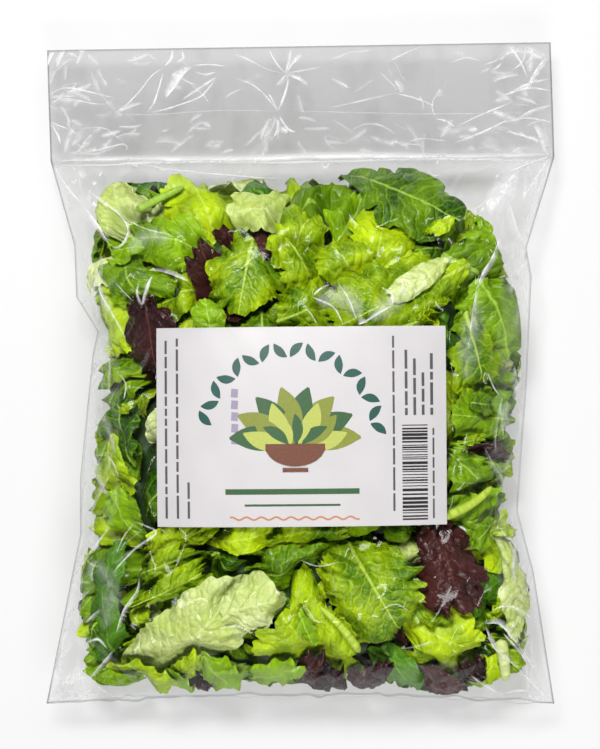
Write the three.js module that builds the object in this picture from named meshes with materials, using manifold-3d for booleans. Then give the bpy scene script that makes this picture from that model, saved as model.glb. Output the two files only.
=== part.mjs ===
// A clear film bag of mixed salad leaves, lying on its back with its label up.
// Millimetres, +Z up. X runs across the bag, +Y towards its empty top flap, and the floor is z = 0.
// The bag is one solid: the flat flap, the seal, the pillow that the leaves fill, and the thin side and
// bottom seams. The leaves that press against the film stand out on the pillow as low, wavy plates.
import * as THREE from "three";
import { mergeVertices } from "three/addons/utils/BufferGeometryUtils.js";
import Module from "manifold-3d";

const wasm = await Module();
wasm.setup();

// Driving dimensions of the bag.
const FILL_DEPTH = 80; // the filled bag's full height above the floor
const SEAM_MIDDLE = 26; // height of the side seams beside the fullest part
const SEAM_ENDS = 20; // height of the seams at the seal and at the bottom corners
const PLY = 1; // half the thickness that stands for the two plies of film
const BACK_DEPTH = 42; // how far the back would sink if the floor did not flatten it
const FLAP_END_HEIGHT = 16; // the empty flap droops to this height at its open end
const FLAP_WAVE = 1.4; // height of the flap's slow waves
const FLAP_PACE = { across: 2.1, start: 0.6, sway: 1.3, along: 2, fade: 0.9 }; // how quickly they change
const SEAL_BEAD = 1.2; // how far the heat seal stands proud of the film
const BOTTOM_RISE = 4; // the bottom seam is drawn in by this at its middle
const LEAF_RELIEF = 1.4; // how far a leaf under the film stands above the gaps round it

// Corners of the outline, from the open end down: [y, x]. The film is straight between them.
const LEFT_EDGE = [
  [159, -125],
  [104, -123],
  [62, -111],
  [37, -110],
  [20, -99.5],
  [8, -102],
  [-52, -108],
  [-79, -108],
  [-163, -125],
];
const RIGHT_EDGE = [
  [163, 123.5],
  [106, 125],
  [61, 111],
  [47, 113.5],
  [-4, 111],
  [-68, 106.5],
  [-98, 114.5],
  [-163, 125],
];
const TOP_ENDS = [159, 163]; // y of the open end at its left and right corners
const SEAL_ENDS = [103.5, 106.5]; // y of the heat seal at its left and right ends
const BOTTOM_Y = -163;

// How full the bag is across its width and along its length.
const ACROSS = { power: 2.6, fullness: 0.6 };
const ALONG = { power: 3.2, fullness: 0.6 };

// Grid of the bag's surface. Its columns lie closer together towards the side seams.
const CROWDING = 0.98; // 0 for even columns, 1 for the closest
const COLUMNS = 34;
const PILLOW_ROWS = 34;
const FLAP_ROWS = 5;

// The label stuck on the front.
const LABEL = { x: 0.5, y: -25.5, width: 137, height: 94, tilt: 0.5, thickness: 0.8, gap: 0.5 };
const LABEL_COLUMNS = 16;
const LABEL_ROWS = 11;
const LABEL_MARGIN = 1.2; // leaf relief keeps this far from the label

// The leaves that lie against the front: place of the middle, direction of the tip in degrees
// anticlockwise from +X, length and width. Later leaves lie over earlier ones.
const LEAVES = [
  { x: -93, y: -50, turn: -80, length: 36, width: 18 },
  { x: -90, y: -26, turn: 100, length: 34, width: 18 },
  { x: -88, y: -70, turn: -70, length: 32, width: 18 },
  { x: -66, y: 65, turn: 172, length: 54, width: 26 },
  { x: -46, y: 78, turn: 115, length: 42, width: 36 },
  { x: -86, y: 84, turn: 100, length: 30, width: 26 },
  { x: -83, y: 43, turn: -62, length: 34, width: 26 },
  { x: -73, y: 16, turn: -80, length: 42, width: 28 },
  { x: -45, y: 50, turn: -75, length: 32, width: 17 },
  { x: -26, y: 49, turn: -100, length: 40, width: 36 },
  { x: -19, y: 77, turn: 5, length: 32, width: 18 },
  { x: 4, y: 56, turn: -60, length: 34, width: 26 },
  { x: 10, y: 82, turn: 15, length: 30, width: 18 },
  { x: 38, y: 60, turn: 80, length: 36, width: 30 },
  { x: 51, y: 84, turn: -25, length: 52, width: 30 },
  { x: 45, y: 36, turn: 205, length: 62, width: 38 },
  { x: 92, y: 68, turn: 70, length: 24, width: 18 },
  { x: 86, y: 48, turn: -25, length: 36, width: 24 },
  { x: 92, y: 24, turn: -70, length: 36, width: 26 },
  { x: 86, y: -6, turn: -75, length: 36, width: 22 },
  { x: 88, y: -34, turn: 175, length: 34, width: 24 },
  { x: 85, y: -66, turn: 28, length: 34, width: 22 },
  { x: -64, y: -84, turn: 25, length: 52, width: 15 },
  { x: -66, y: -98, turn: 20, length: 46, width: 15 },
  { x: -26, y: -80, turn: 10, length: 44, width: 16 },
  { x: 12, y: -96, turn: -35, length: 38, width: 24 },
  { x: -93, y: -120, turn: 95, length: 38, width: 16 },
  { x: -80, y: -141, turn: -75, length: 26, width: 20 },
  { x: 68, y: -124, turn: -20, length: 40, width: 24 },
  { x: 66, y: -144, turn: -10, length: 44, width: 20 },
  { x: 101, y: -104, turn: -87, length: 52, width: 14 },
  { x: 72, y: -94, turn: -75, length: 46, width: 36 },
  { x: -57, y: -122, turn: 40, length: 60, width: 40 },
  { x: 35, y: -106, turn: -60, length: 54, width: 44 },
  { x: 0, y: -130, turn: 125, length: 60, width: 38 },
];
const LEAF_STATIONS = 7; // sections along a leaf
const LEAF_OUTLINE = { start: 0.1, span: 0.82, power: 0.6 }; // the part of a sine's hump that is its outline
const LEAF_LEAN = 0.1; // how far its lobes lean towards the tip, as a share of its width
const LEAF_CROWN = { rib: 0.9, edge: 0.55 }; // how much of the relief its midrib and its edge have
const LEAF_ROOT = 9; // a plate reaches this far down into the pillow, so that nothing hollow is left under it
const LEAF_TOOTH = 0.16; // how deep the lobes of its edge are, as a share of its half width
const LEAF_ROOT_LIMIT = 0.4; // the root ends no lower than this share of the way up from the bag's back
const LEAF_RIPPLE = 0.8; // how far its edge rises and falls
// How the ripple changes from station to station, side to side and leaf to leaf.
const RIPPLE_PACE = { station: 2.2, side: 1.7, leaf: 1.3 };

const MERGE_WITHIN = 1e-3; // points closer than this are one

const mix = (a, b, share) => a + (b - a) * share;

// x of an edge at y, straight between the outline's corners.
function edgeAt(corners, y) {
  if (y >= corners[0][0]) return corners[0][1];
  for (let i = 1; i < corners.length; i++) {
    const [y1, x1] = corners[i];
    const [y0, x0] = corners[i - 1];
    if (y >= y1) return mix(x1, x0, (y - y1) / (y0 - y1));
  }
  return corners[corners.length - 1][1];
}

const sealAt = (across) => mix(SEAL_ENDS[0], SEAL_ENDS[1], (across + 1) / 2);
const openEndAt = (across) => mix(TOP_ENDS[0], TOP_ENDS[1], (across + 1) / 2);
const bottomAt = (across) => BOTTOM_Y + BOTTOM_RISE * (1 - across * across);

// A point of the plan as shares of the bag: across from -1 to 1, along from -1 at the bottom to 1 at the seal.
function sharesAt(x, y) {
  const left = edgeAt(LEFT_EDGE, y);
  const right = edgeAt(RIGHT_EDGE, y);
  const across = (2 * (x - left)) / (right - left) - 1;
  const bottom = bottomAt(across);
  const along = (2 * (y - bottom)) / (sealAt(across) - bottom) - 1;
  return { across, along };
}

// How full the bag is there, from 0 at the seams to 1 at its middle.
function fullnessAt({ across, along }) {
  const side = Math.max(0, 1 - Math.abs(across) ** ACROSS.power) ** ACROSS.fullness;
  const end = Math.max(0, 1 - Math.abs(along) ** ALONG.power) ** ALONG.fullness;
  return side * end;
}

const seamHeight = (along) => mix(SEAM_MIDDLE, SEAM_ENDS, Math.min(1, along * along));

function frontHeight(shares) {
  const seam = seamHeight(shares.along) + PLY;
  return seam + (FILL_DEPTH - SEAM_MIDDLE - PLY) * fullnessAt(shares);
}

function backHeight(shares) {
  const seam = seamHeight(shares.along) - PLY;
  return Math.max(0, seam - BACK_DEPTH * fullnessAt(shares));
}

// Height of the flap's middle, from the seal (0) to the open end (1).
function flapHeight(across, out) {
  const { across: pace, start, sway, along, fade } = FLAP_PACE;
  const wave = FLAP_WAVE * Math.sin(pace * across + start) * Math.cos(sway * across - along * out);
  return mix(SEAM_ENDS, FLAP_END_HEIGHT, out) + wave * Math.sin(Math.PI * Math.min(1, out * fade));
}

// Place of a column or row from -1 to 1, crowded towards both ends.
function crowded(number, count, crowding) {
  const quarter = (Math.PI / 2) * crowding;
  return Math.sin(quarter * ((2 * number) / count - 1)) / Math.sin(quarter);
}

// Both faces of the bag over one grid of rows and columns, closed round the rim.
function bagSheet() {
  const rows = PILLOW_ROWS + FLAP_ROWS;
  const front = [];
  const back = [];
  for (let r = 0; r <= rows; r++) {
    for (let c = 0; c <= COLUMNS; c++) {
      const across = crowded(c, COLUMNS, CROWDING);
      const inPillow = r <= PILLOW_ROWS;
      const along = inPillow ? crowded(r, PILLOW_ROWS, 1) : 1;
      const out = inPillow ? 0 : (r - PILLOW_ROWS) / FLAP_ROWS;
      const y = inPillow
        ? mix(bottomAt(across), sealAt(across), (along + 1) / 2)
        : mix(sealAt(across), openEndAt(across), out);
      const x = mix(edgeAt(LEFT_EDGE, y), edgeAt(RIGHT_EDGE, y), (across + 1) / 2);
      if (inPillow) {
        const bead = r === PILLOW_ROWS ? SEAL_BEAD : 0;
        front.push([x, y, frontHeight({ across, along }) + bead]);
        back.push([x, y, backHeight({ across, along })]);
      } else {
        const middle = flapHeight(across, out);
        front.push([x, y, middle + PLY]);
        back.push([x, y, middle - PLY]);
      }
    }
  }
  return closedSheet(front, back, rows, COLUMNS);
}

// A closed geometry from two like grids of points, the upper and the lower face of a sheet.
function closedSheet(upper, lower, rows, columns) {
  const index = (r, c) => r * (columns + 1) + c;
  const below = upper.length;
  const faces = [];
  const quad = (a, b, c, d) => faces.push(a, b, c, a, c, d);
  for (let r = 0; r < rows; r++) {
    for (let c = 0; c < columns; c++) {
      quad(index(r, c), index(r, c + 1), index(r + 1, c + 1), index(r + 1, c));
      quad(
        below + index(r, c),
        below + index(r + 1, c),
        below + index(r + 1, c + 1),
        below + index(r, c + 1),
      );
    }
  }
  for (let c = 0; c < columns; c++) {
    quad(index(0, c), below + index(0, c), below + index(0, c + 1), index(0, c + 1));
    quad(index(rows, c), index(rows, c + 1), below + index(rows, c + 1), below + index(rows, c));
  }
  for (let r = 0; r < rows; r++) {
    quad(index(r, 0), index(r + 1, 0), below + index(r + 1, 0), below + index(r, 0));
    quad(index(r, columns), below + index(r, columns), below + index(r + 1, columns), index(r + 1, columns));
  }
  const geometry = new THREE.BufferGeometry();
  const points = [...upper, ...lower].flat();
  geometry.setAttribute("position", new THREE.Float32BufferAttribute(points, 3));
  geometry.setIndex(faces);
  return geometry;
}

// A leaf as a wavy plate rooted in the front: lobed edges, a raised midrib and a rippled rim.
function leafPlate({ x, y, turn, length, width }, number) {
  const heading = THREE.MathUtils.degToRad(turn);
  const upper = [];
  const lower = [];
  for (let s = 0; s <= LEAF_STATIONS; s++) {
    const share = s / LEAF_STATIONS;
    const hump = Math.sin(Math.PI * (LEAF_OUTLINE.start + LEAF_OUTLINE.span * share));
    const outline = hump ** LEAF_OUTLINE.power;
    const lobe = 1 + LEAF_TOOTH * (s % 2 ? 1 : -1);
    for (const side of [1, 0, -1]) {
      const edge = Math.abs(side);
      const forward = (share - 0.5) * length + edge * LEAF_LEAN * width * (1 - share);
      const sideways = (side * width * outline * lobe) / 2;
      const px = x + forward * Math.cos(heading) - sideways * Math.sin(heading);
      const py = y + forward * Math.sin(heading) + sideways * Math.cos(heading);
      const phase = s * RIPPLE_PACE.station + side * RIPPLE_PACE.side + number * RIPPLE_PACE.leaf;
      const shares = sharesAt(px, py);
      const film = frontHeight(shares);
      const crown = edge ? LEAF_CROWN.edge : LEAF_CROWN.rib;
      const top = film + LEAF_RELIEF * crown + LEAF_RIPPLE * Math.sin(phase) * edge;
      upper.push([px, py, top]);
      const deepest = mix(backHeight(shares), film, LEAF_ROOT_LIMIT);
      lower.push([px, py, Math.max(top - LEAF_ROOT, deepest)]);
    }
  }
  return closedSheet(upper, lower, LEAF_STATIONS, 2);
}

// The label: a thin sheet that follows the fullest part of the front, clear of the leaves' relief.
function labelSheet() {
  const tilt = THREE.MathUtils.degToRad(LABEL.tilt);
  const upper = [];
  const lower = [];
  for (let r = 0; r <= LABEL_ROWS; r++) {
    for (let c = 0; c <= LABEL_COLUMNS; c++) {
      const across = (c / LABEL_COLUMNS - 0.5) * LABEL.width;
      const along = (r / LABEL_ROWS - 0.5) * LABEL.height;
      const x = LABEL.x + across * Math.cos(tilt) - along * Math.sin(tilt);
      const y = LABEL.y + across * Math.sin(tilt) + along * Math.cos(tilt);
      const under = frontHeight(sharesAt(x, y)) + LABEL.gap;
      upper.push([x, y, under + LABEL.thickness]);
      lower.push([x, y, under]);
    }
  }
  return closedSheet(upper, lower, LABEL_ROWS, LABEL_COLUMNS);
}

// The space over the label that leaf relief is cut away from.
function labelClearance() {
  const height = 2 * FILL_DEPTH;
  const width = LABEL.width + 2 * LABEL_MARGIN;
  const length = LABEL.height + 2 * LABEL_MARGIN;
  const block = new THREE.BoxGeometry(width, length, height);
  block.rotateZ(THREE.MathUtils.degToRad(LABEL.tilt));
  block.translate(LABEL.x, LABEL.y, height / 2);
  return block;
}

function toSolid(geometry) {
  const bare = geometry.clone();
  bare.deleteAttribute("normal");
  bare.deleteAttribute("uv");
  const merged = mergeVertices(bare, MERGE_WITHIN);
  return new wasm.Manifold(
    new wasm.Mesh({
      numProp: 3,
      vertProperties: new Float32Array(merged.attributes.position.array),
      triVerts: new Uint32Array(merged.index.array),
    }),
  );
}

function toGeometry(solid) {
  const { vertProperties, triVerts } = solid.getMesh();
  const geometry = new THREE.BufferGeometry();
  geometry.setAttribute("position", new THREE.BufferAttribute(vertProperties, 3));
  geometry.setIndex(new THREE.BufferAttribute(triVerts, 1));
  geometry.computeVertexNormals();
  return geometry;
}

// The pillow with the leaf plates fused on. The outer skin alone is kept, which fills any hollow sealed
// under a plate and drops loose scraps.
function filledBag() {
  const clearance = toSolid(labelClearance());
  const fused = LEAVES.reduce(
    (solid, leaf, number) => solid.add(toSolid(leafPlate(leaf, number)).subtract(clearance)),
    toSolid(bagSheet()),
  );
  const skins = toSolid(toGeometry(fused)).decompose();
  return skins.reduce((best, skin) => (skin.volume() > best.volume() ? skin : best));
}

const saladGreen = new THREE.MeshStandardMaterial({ color: 0x86a81e, roughness: 0.35, metalness: 0 });
const paperWhite = new THREE.MeshStandardMaterial({ color: 0xe6e2e3, roughness: 0.6, metalness: 0 });

const bag = new THREE.Mesh(toGeometry(filledBag()), saladGreen);
bag.name = "bag";

const label = new THREE.Mesh(labelSheet(), paperWhite);
label.name = "label";

const saladBag = new THREE.Group();
saladBag.add(bag, label);
export default saladBag;
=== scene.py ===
# A clear film bag of mixed salad leaves, lying on its back with its label up, seen from above.
# Lengths in this file are millimetres until a mesh, a light or the camera is made.
import math

import bpy
import numpy as np
from mathutils.kdtree import KDTree
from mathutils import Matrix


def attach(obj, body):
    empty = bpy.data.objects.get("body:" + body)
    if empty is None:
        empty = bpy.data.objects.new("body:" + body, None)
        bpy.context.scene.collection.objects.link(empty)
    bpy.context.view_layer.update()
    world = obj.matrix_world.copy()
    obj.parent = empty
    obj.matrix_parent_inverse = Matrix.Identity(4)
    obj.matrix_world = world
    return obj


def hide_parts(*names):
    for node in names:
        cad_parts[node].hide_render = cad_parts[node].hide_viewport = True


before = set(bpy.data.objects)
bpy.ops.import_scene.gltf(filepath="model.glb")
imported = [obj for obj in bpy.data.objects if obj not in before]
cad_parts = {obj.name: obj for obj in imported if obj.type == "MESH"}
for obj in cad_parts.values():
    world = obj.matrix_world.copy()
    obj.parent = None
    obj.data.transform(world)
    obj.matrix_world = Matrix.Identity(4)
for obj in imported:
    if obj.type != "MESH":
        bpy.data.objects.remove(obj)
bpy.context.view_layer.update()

MM = 0.001  # metres in a millimetre

# The bag, as the solid has it.
FILL_DEPTH = 80.0  # height of its front over the floor
SEAM_MIDDLE = 26.0  # height of the side seams over the floor at their middle
SEAM_ENDS = 20.0  # and at the bottom and the seal
BACK_DEPTH = 42.0  # how far the back would reach below the seams if no floor were there
FLAP_END_HEIGHT = 16.0  # of the open end over the floor
FLAP_WAVE = 1.4  # height of the flap's waves
BOTTOM_Y = -163.0  # of the bottom seam at its ends
BOTTOM_RISE = 4.0  # how much higher up its middle is
BOTTOM_HALF = 125.0  # half the width of the bottom
MEAN_HALF = 110.0  # about half the width all along
TOP_ENDS = (159.0, 163.0)  # y of the open end at its left and its right
SEAL_ENDS = (103.5, 106.5)  # and of the heat seal
# How square the pillow's section is, across and along the bag
ACROSS_POWER, ACROSS_FULLNESS = 2.6, 0.6
ALONG_POWER, ALONG_FULLNESS = 3.2, 0.6

# Corners of the outline from the bottom up: (y, x). The film is straight between them.
LEFT_EDGE = [
    (-163, -125), (-79, -108), (-52, -108), (8, -102), (20, -99.5),
    (37, -110), (62, -111), (104, -123), (159, -125),
]
RIGHT_EDGE = [
    (-163, 125), (-98, 114.5), (-68, 106.5), (-4, 111), (47, 113.5),
    (61, 111), (106, 125), (163, 123.5),
]

# The label stuck on the front.
LABEL_X, LABEL_Y = 0.5, -25.5
LABEL_WIDTH, LABEL_HEIGHT = 137.0, 94.0
LABEL_TILT = math.radians(0.5)
LABEL_LIFT = 0.9  # the paper's height above the film's plain form
LABEL_THICKNESS = 0.18
PRINT_LIFT = 0.07  # the ink's height above the paper

# The camera, which looks straight down.
CAMERA_X, CAMERA_Y, CAMERA_Z = -0.2, -1.0, 1300.0
LENS, SENSOR = 125.0, 36.0
PHOTO_WIDTH, PHOTO_HEIGHT = 600, 749  # pixels


# Numbers and shapes


def mix(a, b, share):
    return a + (b - a) * share


def smooth_step(low, high, value):
    share = np.clip((value - low) / (high - low), 0, 1)
    return share * share * (3 - 2 * share)


def turned(x, y, heading):
    """A place turned about the origin by that heading."""
    return x * math.cos(heading) - y * math.sin(heading), x * math.sin(heading) + y * math.cos(heading)


def edge_x(corners, y):
    ys, xs = zip(*corners)
    return np.interp(y, ys, xs)


def bottom_y(across):
    return BOTTOM_Y + BOTTOM_RISE * (1 - across * across)


def seal_y(across):
    return mix(SEAL_ENDS[0], SEAL_ENDS[1], (across + 1) / 2)


def open_end_y(across):
    return mix(TOP_ENDS[0], TOP_ENDS[1], (across + 1) / 2)


def shares(x, y):
    """A place as shares of the bag: across from -1 to 1, along from -1 at the bottom to 1 at the seal."""
    left, right = edge_x(LEFT_EDGE, y), edge_x(RIGHT_EDGE, y)
    across = 2 * (x - left) / (right - left) - 1
    bottom = bottom_y(across)
    along = 2 * (y - bottom) / (seal_y(across) - bottom) - 1
    return across, along


def between_edges(across, y):
    return mix(edge_x(LEFT_EDGE, y), edge_x(RIGHT_EDGE, y), (across + 1) / 2)


def bag_place(across, along):
    """The place of those shares of the bag."""
    y = mix(bottom_y(across), seal_y(across), (along + 1) / 2)
    return between_edges(across, y), y


def in_bag(across, along):
    """Shares of places beyond the seams drawn back onto them."""
    return np.clip(across, -1, 1), np.clip(along, -1, 1)


def fullness(across, along):
    side = np.maximum(0, 1 - np.abs(across) ** ACROSS_POWER) ** ACROSS_FULLNESS
    end = np.maximum(0, 1 - np.abs(along) ** ALONG_POWER) ** ALONG_FULLNESS
    return side * end


def seam_height(along):
    return mix(SEAM_MIDDLE, SEAM_ENDS, np.minimum(1, along * along))


def film_front(across, along):
    return seam_height(along) + (FILL_DEPTH - SEAM_MIDDLE) * fullness(across, along)


def film_back(across, along):
    return np.maximum(0, seam_height(along) - BACK_DEPTH * fullness(across, along))


def flap_height(across, out):
    wave = FLAP_WAVE * np.sin(2.1 * across + 0.6) * np.cos(1.3 * across - 2 * out)
    return mix(SEAM_ENDS, FLAP_END_HEIGHT, out) + wave * np.sin(np.pi * np.minimum(1, out * 0.9))


# Meshes


def grid_triangles(rows, columns, flip=False):
    """Triangles of a grid of (rows + 1) by (columns + 1) points."""
    r, c = np.meshgrid(np.arange(rows), np.arange(columns), indexing="ij")
    first = (r * (columns + 1) + c).ravel()
    corner = [first, first + 1, first + columns + 2, first + columns + 1]
    if flip:
        corner.reverse()
    one = np.stack([corner[0], corner[1], corner[2]], axis=1)
    two = np.stack([corner[0], corner[2], corner[3]], axis=1)
    return np.concatenate([one, two])


def asides(line):
    """The direction square to a line at each of its points."""
    ahead = np.gradient(line, axis=0)
    ahead /= np.linalg.norm(ahead, axis=1)[:, None] + 1e-9
    return np.stack([-ahead[:, 1], ahead[:, 0]], axis=1)


def closed_sheet(upper, lower):
    """Points and triangles of a thin body between two grids of points, with walls round its edge."""
    rows, columns = upper.shape[0] - 1, upper.shape[1] - 1
    index = np.arange((rows + 1) * (columns + 1)).reshape(rows + 1, columns + 1)
    count = index.size
    here = np.concatenate([index[0, :-1], index[:-1, -1], index[-1, :0:-1], index[:0:-1, 0]])
    ahead = np.roll(here, -1)
    faces = grid_triangles(rows, columns)
    walls = [np.stack([here + count, ahead + count, ahead], 1), np.stack([here + count, ahead, here], 1)]
    points = np.concatenate([upper.reshape(-1, 3), lower.reshape(-1, 3)])
    return points, np.concatenate([faces, faces[:, ::-1] + count] + walls)


def add_mesh(name, points, triangles, materials, facts=None, sharp=None, slots=None):
    """A smooth mesh from millimetre points and triangles. facts are named values at its points."""
    mesh = bpy.data.meshes.new(name)
    mesh.vertices.add(len(points))
    mesh.vertices.foreach_set("co", np.asarray(points * MM, np.float32).ravel())
    mesh.loops.add(3 * len(triangles))
    mesh.loops.foreach_set("vertex_index", np.asarray(triangles, np.int32).ravel())
    mesh.polygons.add(len(triangles))
    mesh.polygons.foreach_set("loop_start", np.arange(0, 3 * len(triangles), 3, dtype=np.int32))
    mesh.update(calc_edges=True)
    for fact, values in (facts or {}).items():
        attribute = mesh.attributes.new(fact, "FLOAT_VECTOR", "POINT")
        attribute.data.foreach_set("vector", np.asarray(values, np.float32).ravel())
    for material in materials:
        mesh.materials.append(material)
    if slots is not None:
        mesh.polygons.foreach_set("material_index", np.asarray(slots, np.int32))
    mesh.polygons.foreach_set("use_smooth", np.ones(len(triangles), bool))
    if sharp is not None:
        mesh.set_sharp_from_angle(angle=math.radians(sharp))
    piece = bpy.data.objects.new(name, mesh)
    bpy.context.scene.collection.objects.link(piece)
    return piece


class Gathered:
    """Many small bodies, gathered into one mesh."""

    def __init__(self):
        self.points, self.triangles, self.slots, self.facts, self.count = [], [], [], {}, 0

    def add(self, points, triangles, slot=0, **facts):
        """Takes in a body with the number of its material and with facts at its points."""
        self.points.append(points)
        self.triangles.append(triangles + self.count)
        self.slots.append(np.full(len(triangles), slot))
        for fact, values in facts.items():
            self.facts.setdefault(fact, []).append(np.broadcast_to(values, points.shape))
        self.count += len(points)

    def mesh(self, name, materials, sharp=None):
        points, triangles, slots = map(np.concatenate, (self.points, self.triangles, self.slots))
        facts = {fact: np.concatenate(values) for fact, values in self.facts.items()}
        return add_mesh(name, points, triangles, materials, facts, sharp, slots)


def dress(piece, node):
    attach(piece, "root")
    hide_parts(node)
    return piece


# Materials


def linear(red, green, blue):
    """A screen colour, 0 to 255, as the renderer's own numbers."""
    def one(value):
        share = value / 255
        return share / 12.92 if share <= 0.04045 else ((share + 0.055) / 1.055) ** 2.4
    return (one(red), one(green), one(blue), 1.0)


class Nodes:
    """Short ways to make and join the nodes of one material."""

    def __init__(self, name):
        self.material = bpy.data.materials.new(name)
        self.material.use_nodes = True
        self.tree = self.material.node_tree
        self.tree.nodes.clear()
        self.output = self.tree.nodes.new("ShaderNodeOutputMaterial")

    def add(self, kind, inputs=None, **settings):
        node = self.tree.nodes.new(kind)
        for key, value in settings.items():
            setattr(node, key, value)
        for key, value in (inputs or {}).items():
            self.put(node.inputs[key], value)
        return node

    def put(self, socket, value):
        if isinstance(value, bpy.types.NodeSocket):
            self.tree.links.new(value, socket)
        else:
            socket.default_value = value

    def math(self, operation, a, b=0.0, c=0.0, clamp=False):
        node = self.add("ShaderNodeMath", operation=operation, use_clamp=clamp)
        for socket, value in zip(node.inputs, (a, b, c)):
            self.put(socket, value)
        return node.outputs[0]

    def blend(self, share, a, b):
        node = self.add("ShaderNodeMix", data_type="RGBA")
        self.put(node.inputs["Factor"], share)
        self.put(node.inputs[6], a)
        self.put(node.inputs[7], b)
        return node.outputs[2]

    def ramp(self, value, low, high, to_low=0.0, to_high=1.0):
        node = self.add("ShaderNodeMapRange", interpolation_type="SMOOTHSTEP")
        for key, number in zip(range(5), (value, low, high, to_low, to_high)):
            self.put(node.inputs[key], number)
        return node.outputs[0]

    def fact(self, name):
        """What the mesh holds under that name at its points: the whole, then its three parts."""
        vector = self.add("ShaderNodeAttribute", attribute_name=name).outputs["Vector"]
        return vector, self.add("ShaderNodeSeparateXYZ", {"Vector": vector}).outputs

    def here(self):
        return self.add("ShaderNodeTexCoord").outputs["Object"]

    def bump(self, strength, distance, height):
        inputs = {"Strength": strength, "Distance": distance, "Height": height}
        return self.add("ShaderNodeBump", inputs).outputs[0]

    def skin(self, colour, rough, **more):
        inputs = {"Base Color": colour, "Roughness": rough}
        inputs.update((key.replace("_", " "), value) for key, value in more.items())
        return self.add("ShaderNodeBsdfPrincipled", inputs).outputs[0]

    def either(self, share, a, b):
        """The first shader where share is 0 and the second where it is 1."""
        return self.add("ShaderNodeMixShader", {0: share, 1: a, 2: b}).outputs[0]

    def noise(self, vector, scale, detail=2.0, roughness=0.5):
        inputs = {"Vector": vector, "Scale": scale, "Detail": detail, "Roughness": roughness}
        return self.add("ShaderNodeTexNoise", inputs).outputs["Fac"]

    def finish(self, shader):
        self.tree.links.new(shader, self.output.inputs["Surface"])
        return self.material


VEIN_LEAN = 0.8  # how steeply the side veins run towards the tip
VEIN_LANES = 0.15  # side veins to each millimetre along the rib

# What each kind of leaf looks like: screen colours of its shaded and lit blade, of its veins and its rib,
# how clearly the side veins and the net between them show, its roughness, and how much light it lets through.
LEAF_LOOKS = {
    "bright": dict(shade=(68, 114, 0), lit=(188, 216, 10), vein=(200, 226, 66), rib=(200, 224, 92),
                   veins=0.22, net=0.30, gloss=0.35, glow=0.16),
    "pale": dict(shade=(203, 220, 114), lit=(243, 249, 196), vein=(158, 188, 66), rib=(232, 242, 168),
                 veins=0.45, net=0.5, gloss=0.36, glow=0.34),
    "mid": dict(shade=(36, 78, 0), lit=(138, 180, 6), vein=(156, 200, 50), rib=(176, 210, 84),
                veins=0.30, net=0.25, gloss=0.35, glow=0.15),
    "dark": dict(shade=(36, 86, 6), lit=(94, 146, 24), vein=(108, 162, 48), rib=(136, 182, 72),
                 veins=0.32, net=0.2, gloss=0.33, glow=0.15),
    "red": dict(shade=(24, 10, 15), lit=(70, 35, 33), vein=(78, 44, 40), rib=(98, 60, 50),
                veins=0.25, net=0.3, gloss=0.27, glow=0.12),
}


def leaf_material(name, look):
    """A moist leaf. At each point blade holds the place along and across the leaf and towards its edge."""
    n = Nodes(name)
    blade, (along, across, rim) = n.fact("blade")
    own, (pick, _, rib_width) = n.fact("own")
    apart = {0: own, 1: (97.0, 61.0, 0.0), 2: blade}
    place = n.add("ShaderNodeVectorMath", apart, operation="MULTIPLY_ADD").outputs[0]

    # The side veins, which slant from the rib, the net between them, and the rib
    side = n.math("ABSOLUTE", across)
    wander = n.noise(place, 0.16, 1.0)
    rising = n.math("MULTIPLY_ADD", side, -VEIN_LEAN, along)
    lane = n.math("MULTIPLY_ADD", wander, 1.3, n.math("MULTIPLY", rising, VEIN_LANES))
    off_vein = n.math("PINGPONG", lane, 0.5)
    vein = n.ramp(off_vein, 0.02, 0.10, 1.0, 0.0)
    cells = n.add("ShaderNodeTexVoronoi", {"Vector": place, "Scale": 0.27}, feature="DISTANCE_TO_EDGE")
    net = n.ramp(cells.outputs["Distance"], 0.0, 0.10, 1.0, 0.0)
    rib = n.ramp(n.math("DIVIDE", side, rib_width), 0.55, 1.15, 1.0, 0.0)

    # The blade's tone varies from leaf to leaf, in broad and fine clouds, and is lighter at the rim
    broad = n.noise(place, 0.055, 2.0)
    fine = n.noise(place, 0.42, 3.0, 0.6)
    tone = n.math("MULTIPLY_ADD", n.math("SUBTRACT", broad, 0.5), 1.9, pick)
    tone = n.math("MULTIPLY_ADD", n.math("SUBTRACT", fine, 0.5), 0.55, tone)
    tone = n.math("MULTIPLY_ADD", n.math("POWER", rim, 3.0), 0.12, tone, clamp=True)
    colour = n.blend(tone, linear(*look["shade"]), linear(*look["lit"]))
    colour = n.blend(n.math("MULTIPLY", net, look["net"] * 0.5), colour, linear(*look["vein"]))
    colour = n.blend(n.math("MULTIPLY", vein, look["veins"]), colour, linear(*look["vein"]))
    colour = n.blend(n.math("MULTIPLY", rib, 0.6), colour, linear(*look["rib"]))

    # It swells between the veins
    swell = n.math("MULTIPLY_ADD", n.ramp(off_vein, 0.0, 0.35), 0.9, n.math("MULTIPLY", fine, 0.35))
    swell = n.math("MULTIPLY_ADD", n.ramp(cells.outputs["Distance"], 0.0, 0.3), 0.45, swell)
    bump = n.bump(0.55, 0.001, swell)
    rough = n.ramp(n.noise(place, 0.3, 2.0), 0.3, 0.7, look["gloss"] - 0.07, look["gloss"] + 0.16)
    skin = n.skin(colour, rough, Normal=bump, IOR=1.33)
    glow = n.add("ShaderNodeBsdfTranslucent", {"Color": colour, "Normal": bump}).outputs[0]
    return n.finish(n.either(look["glow"], skin, glow))


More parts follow.
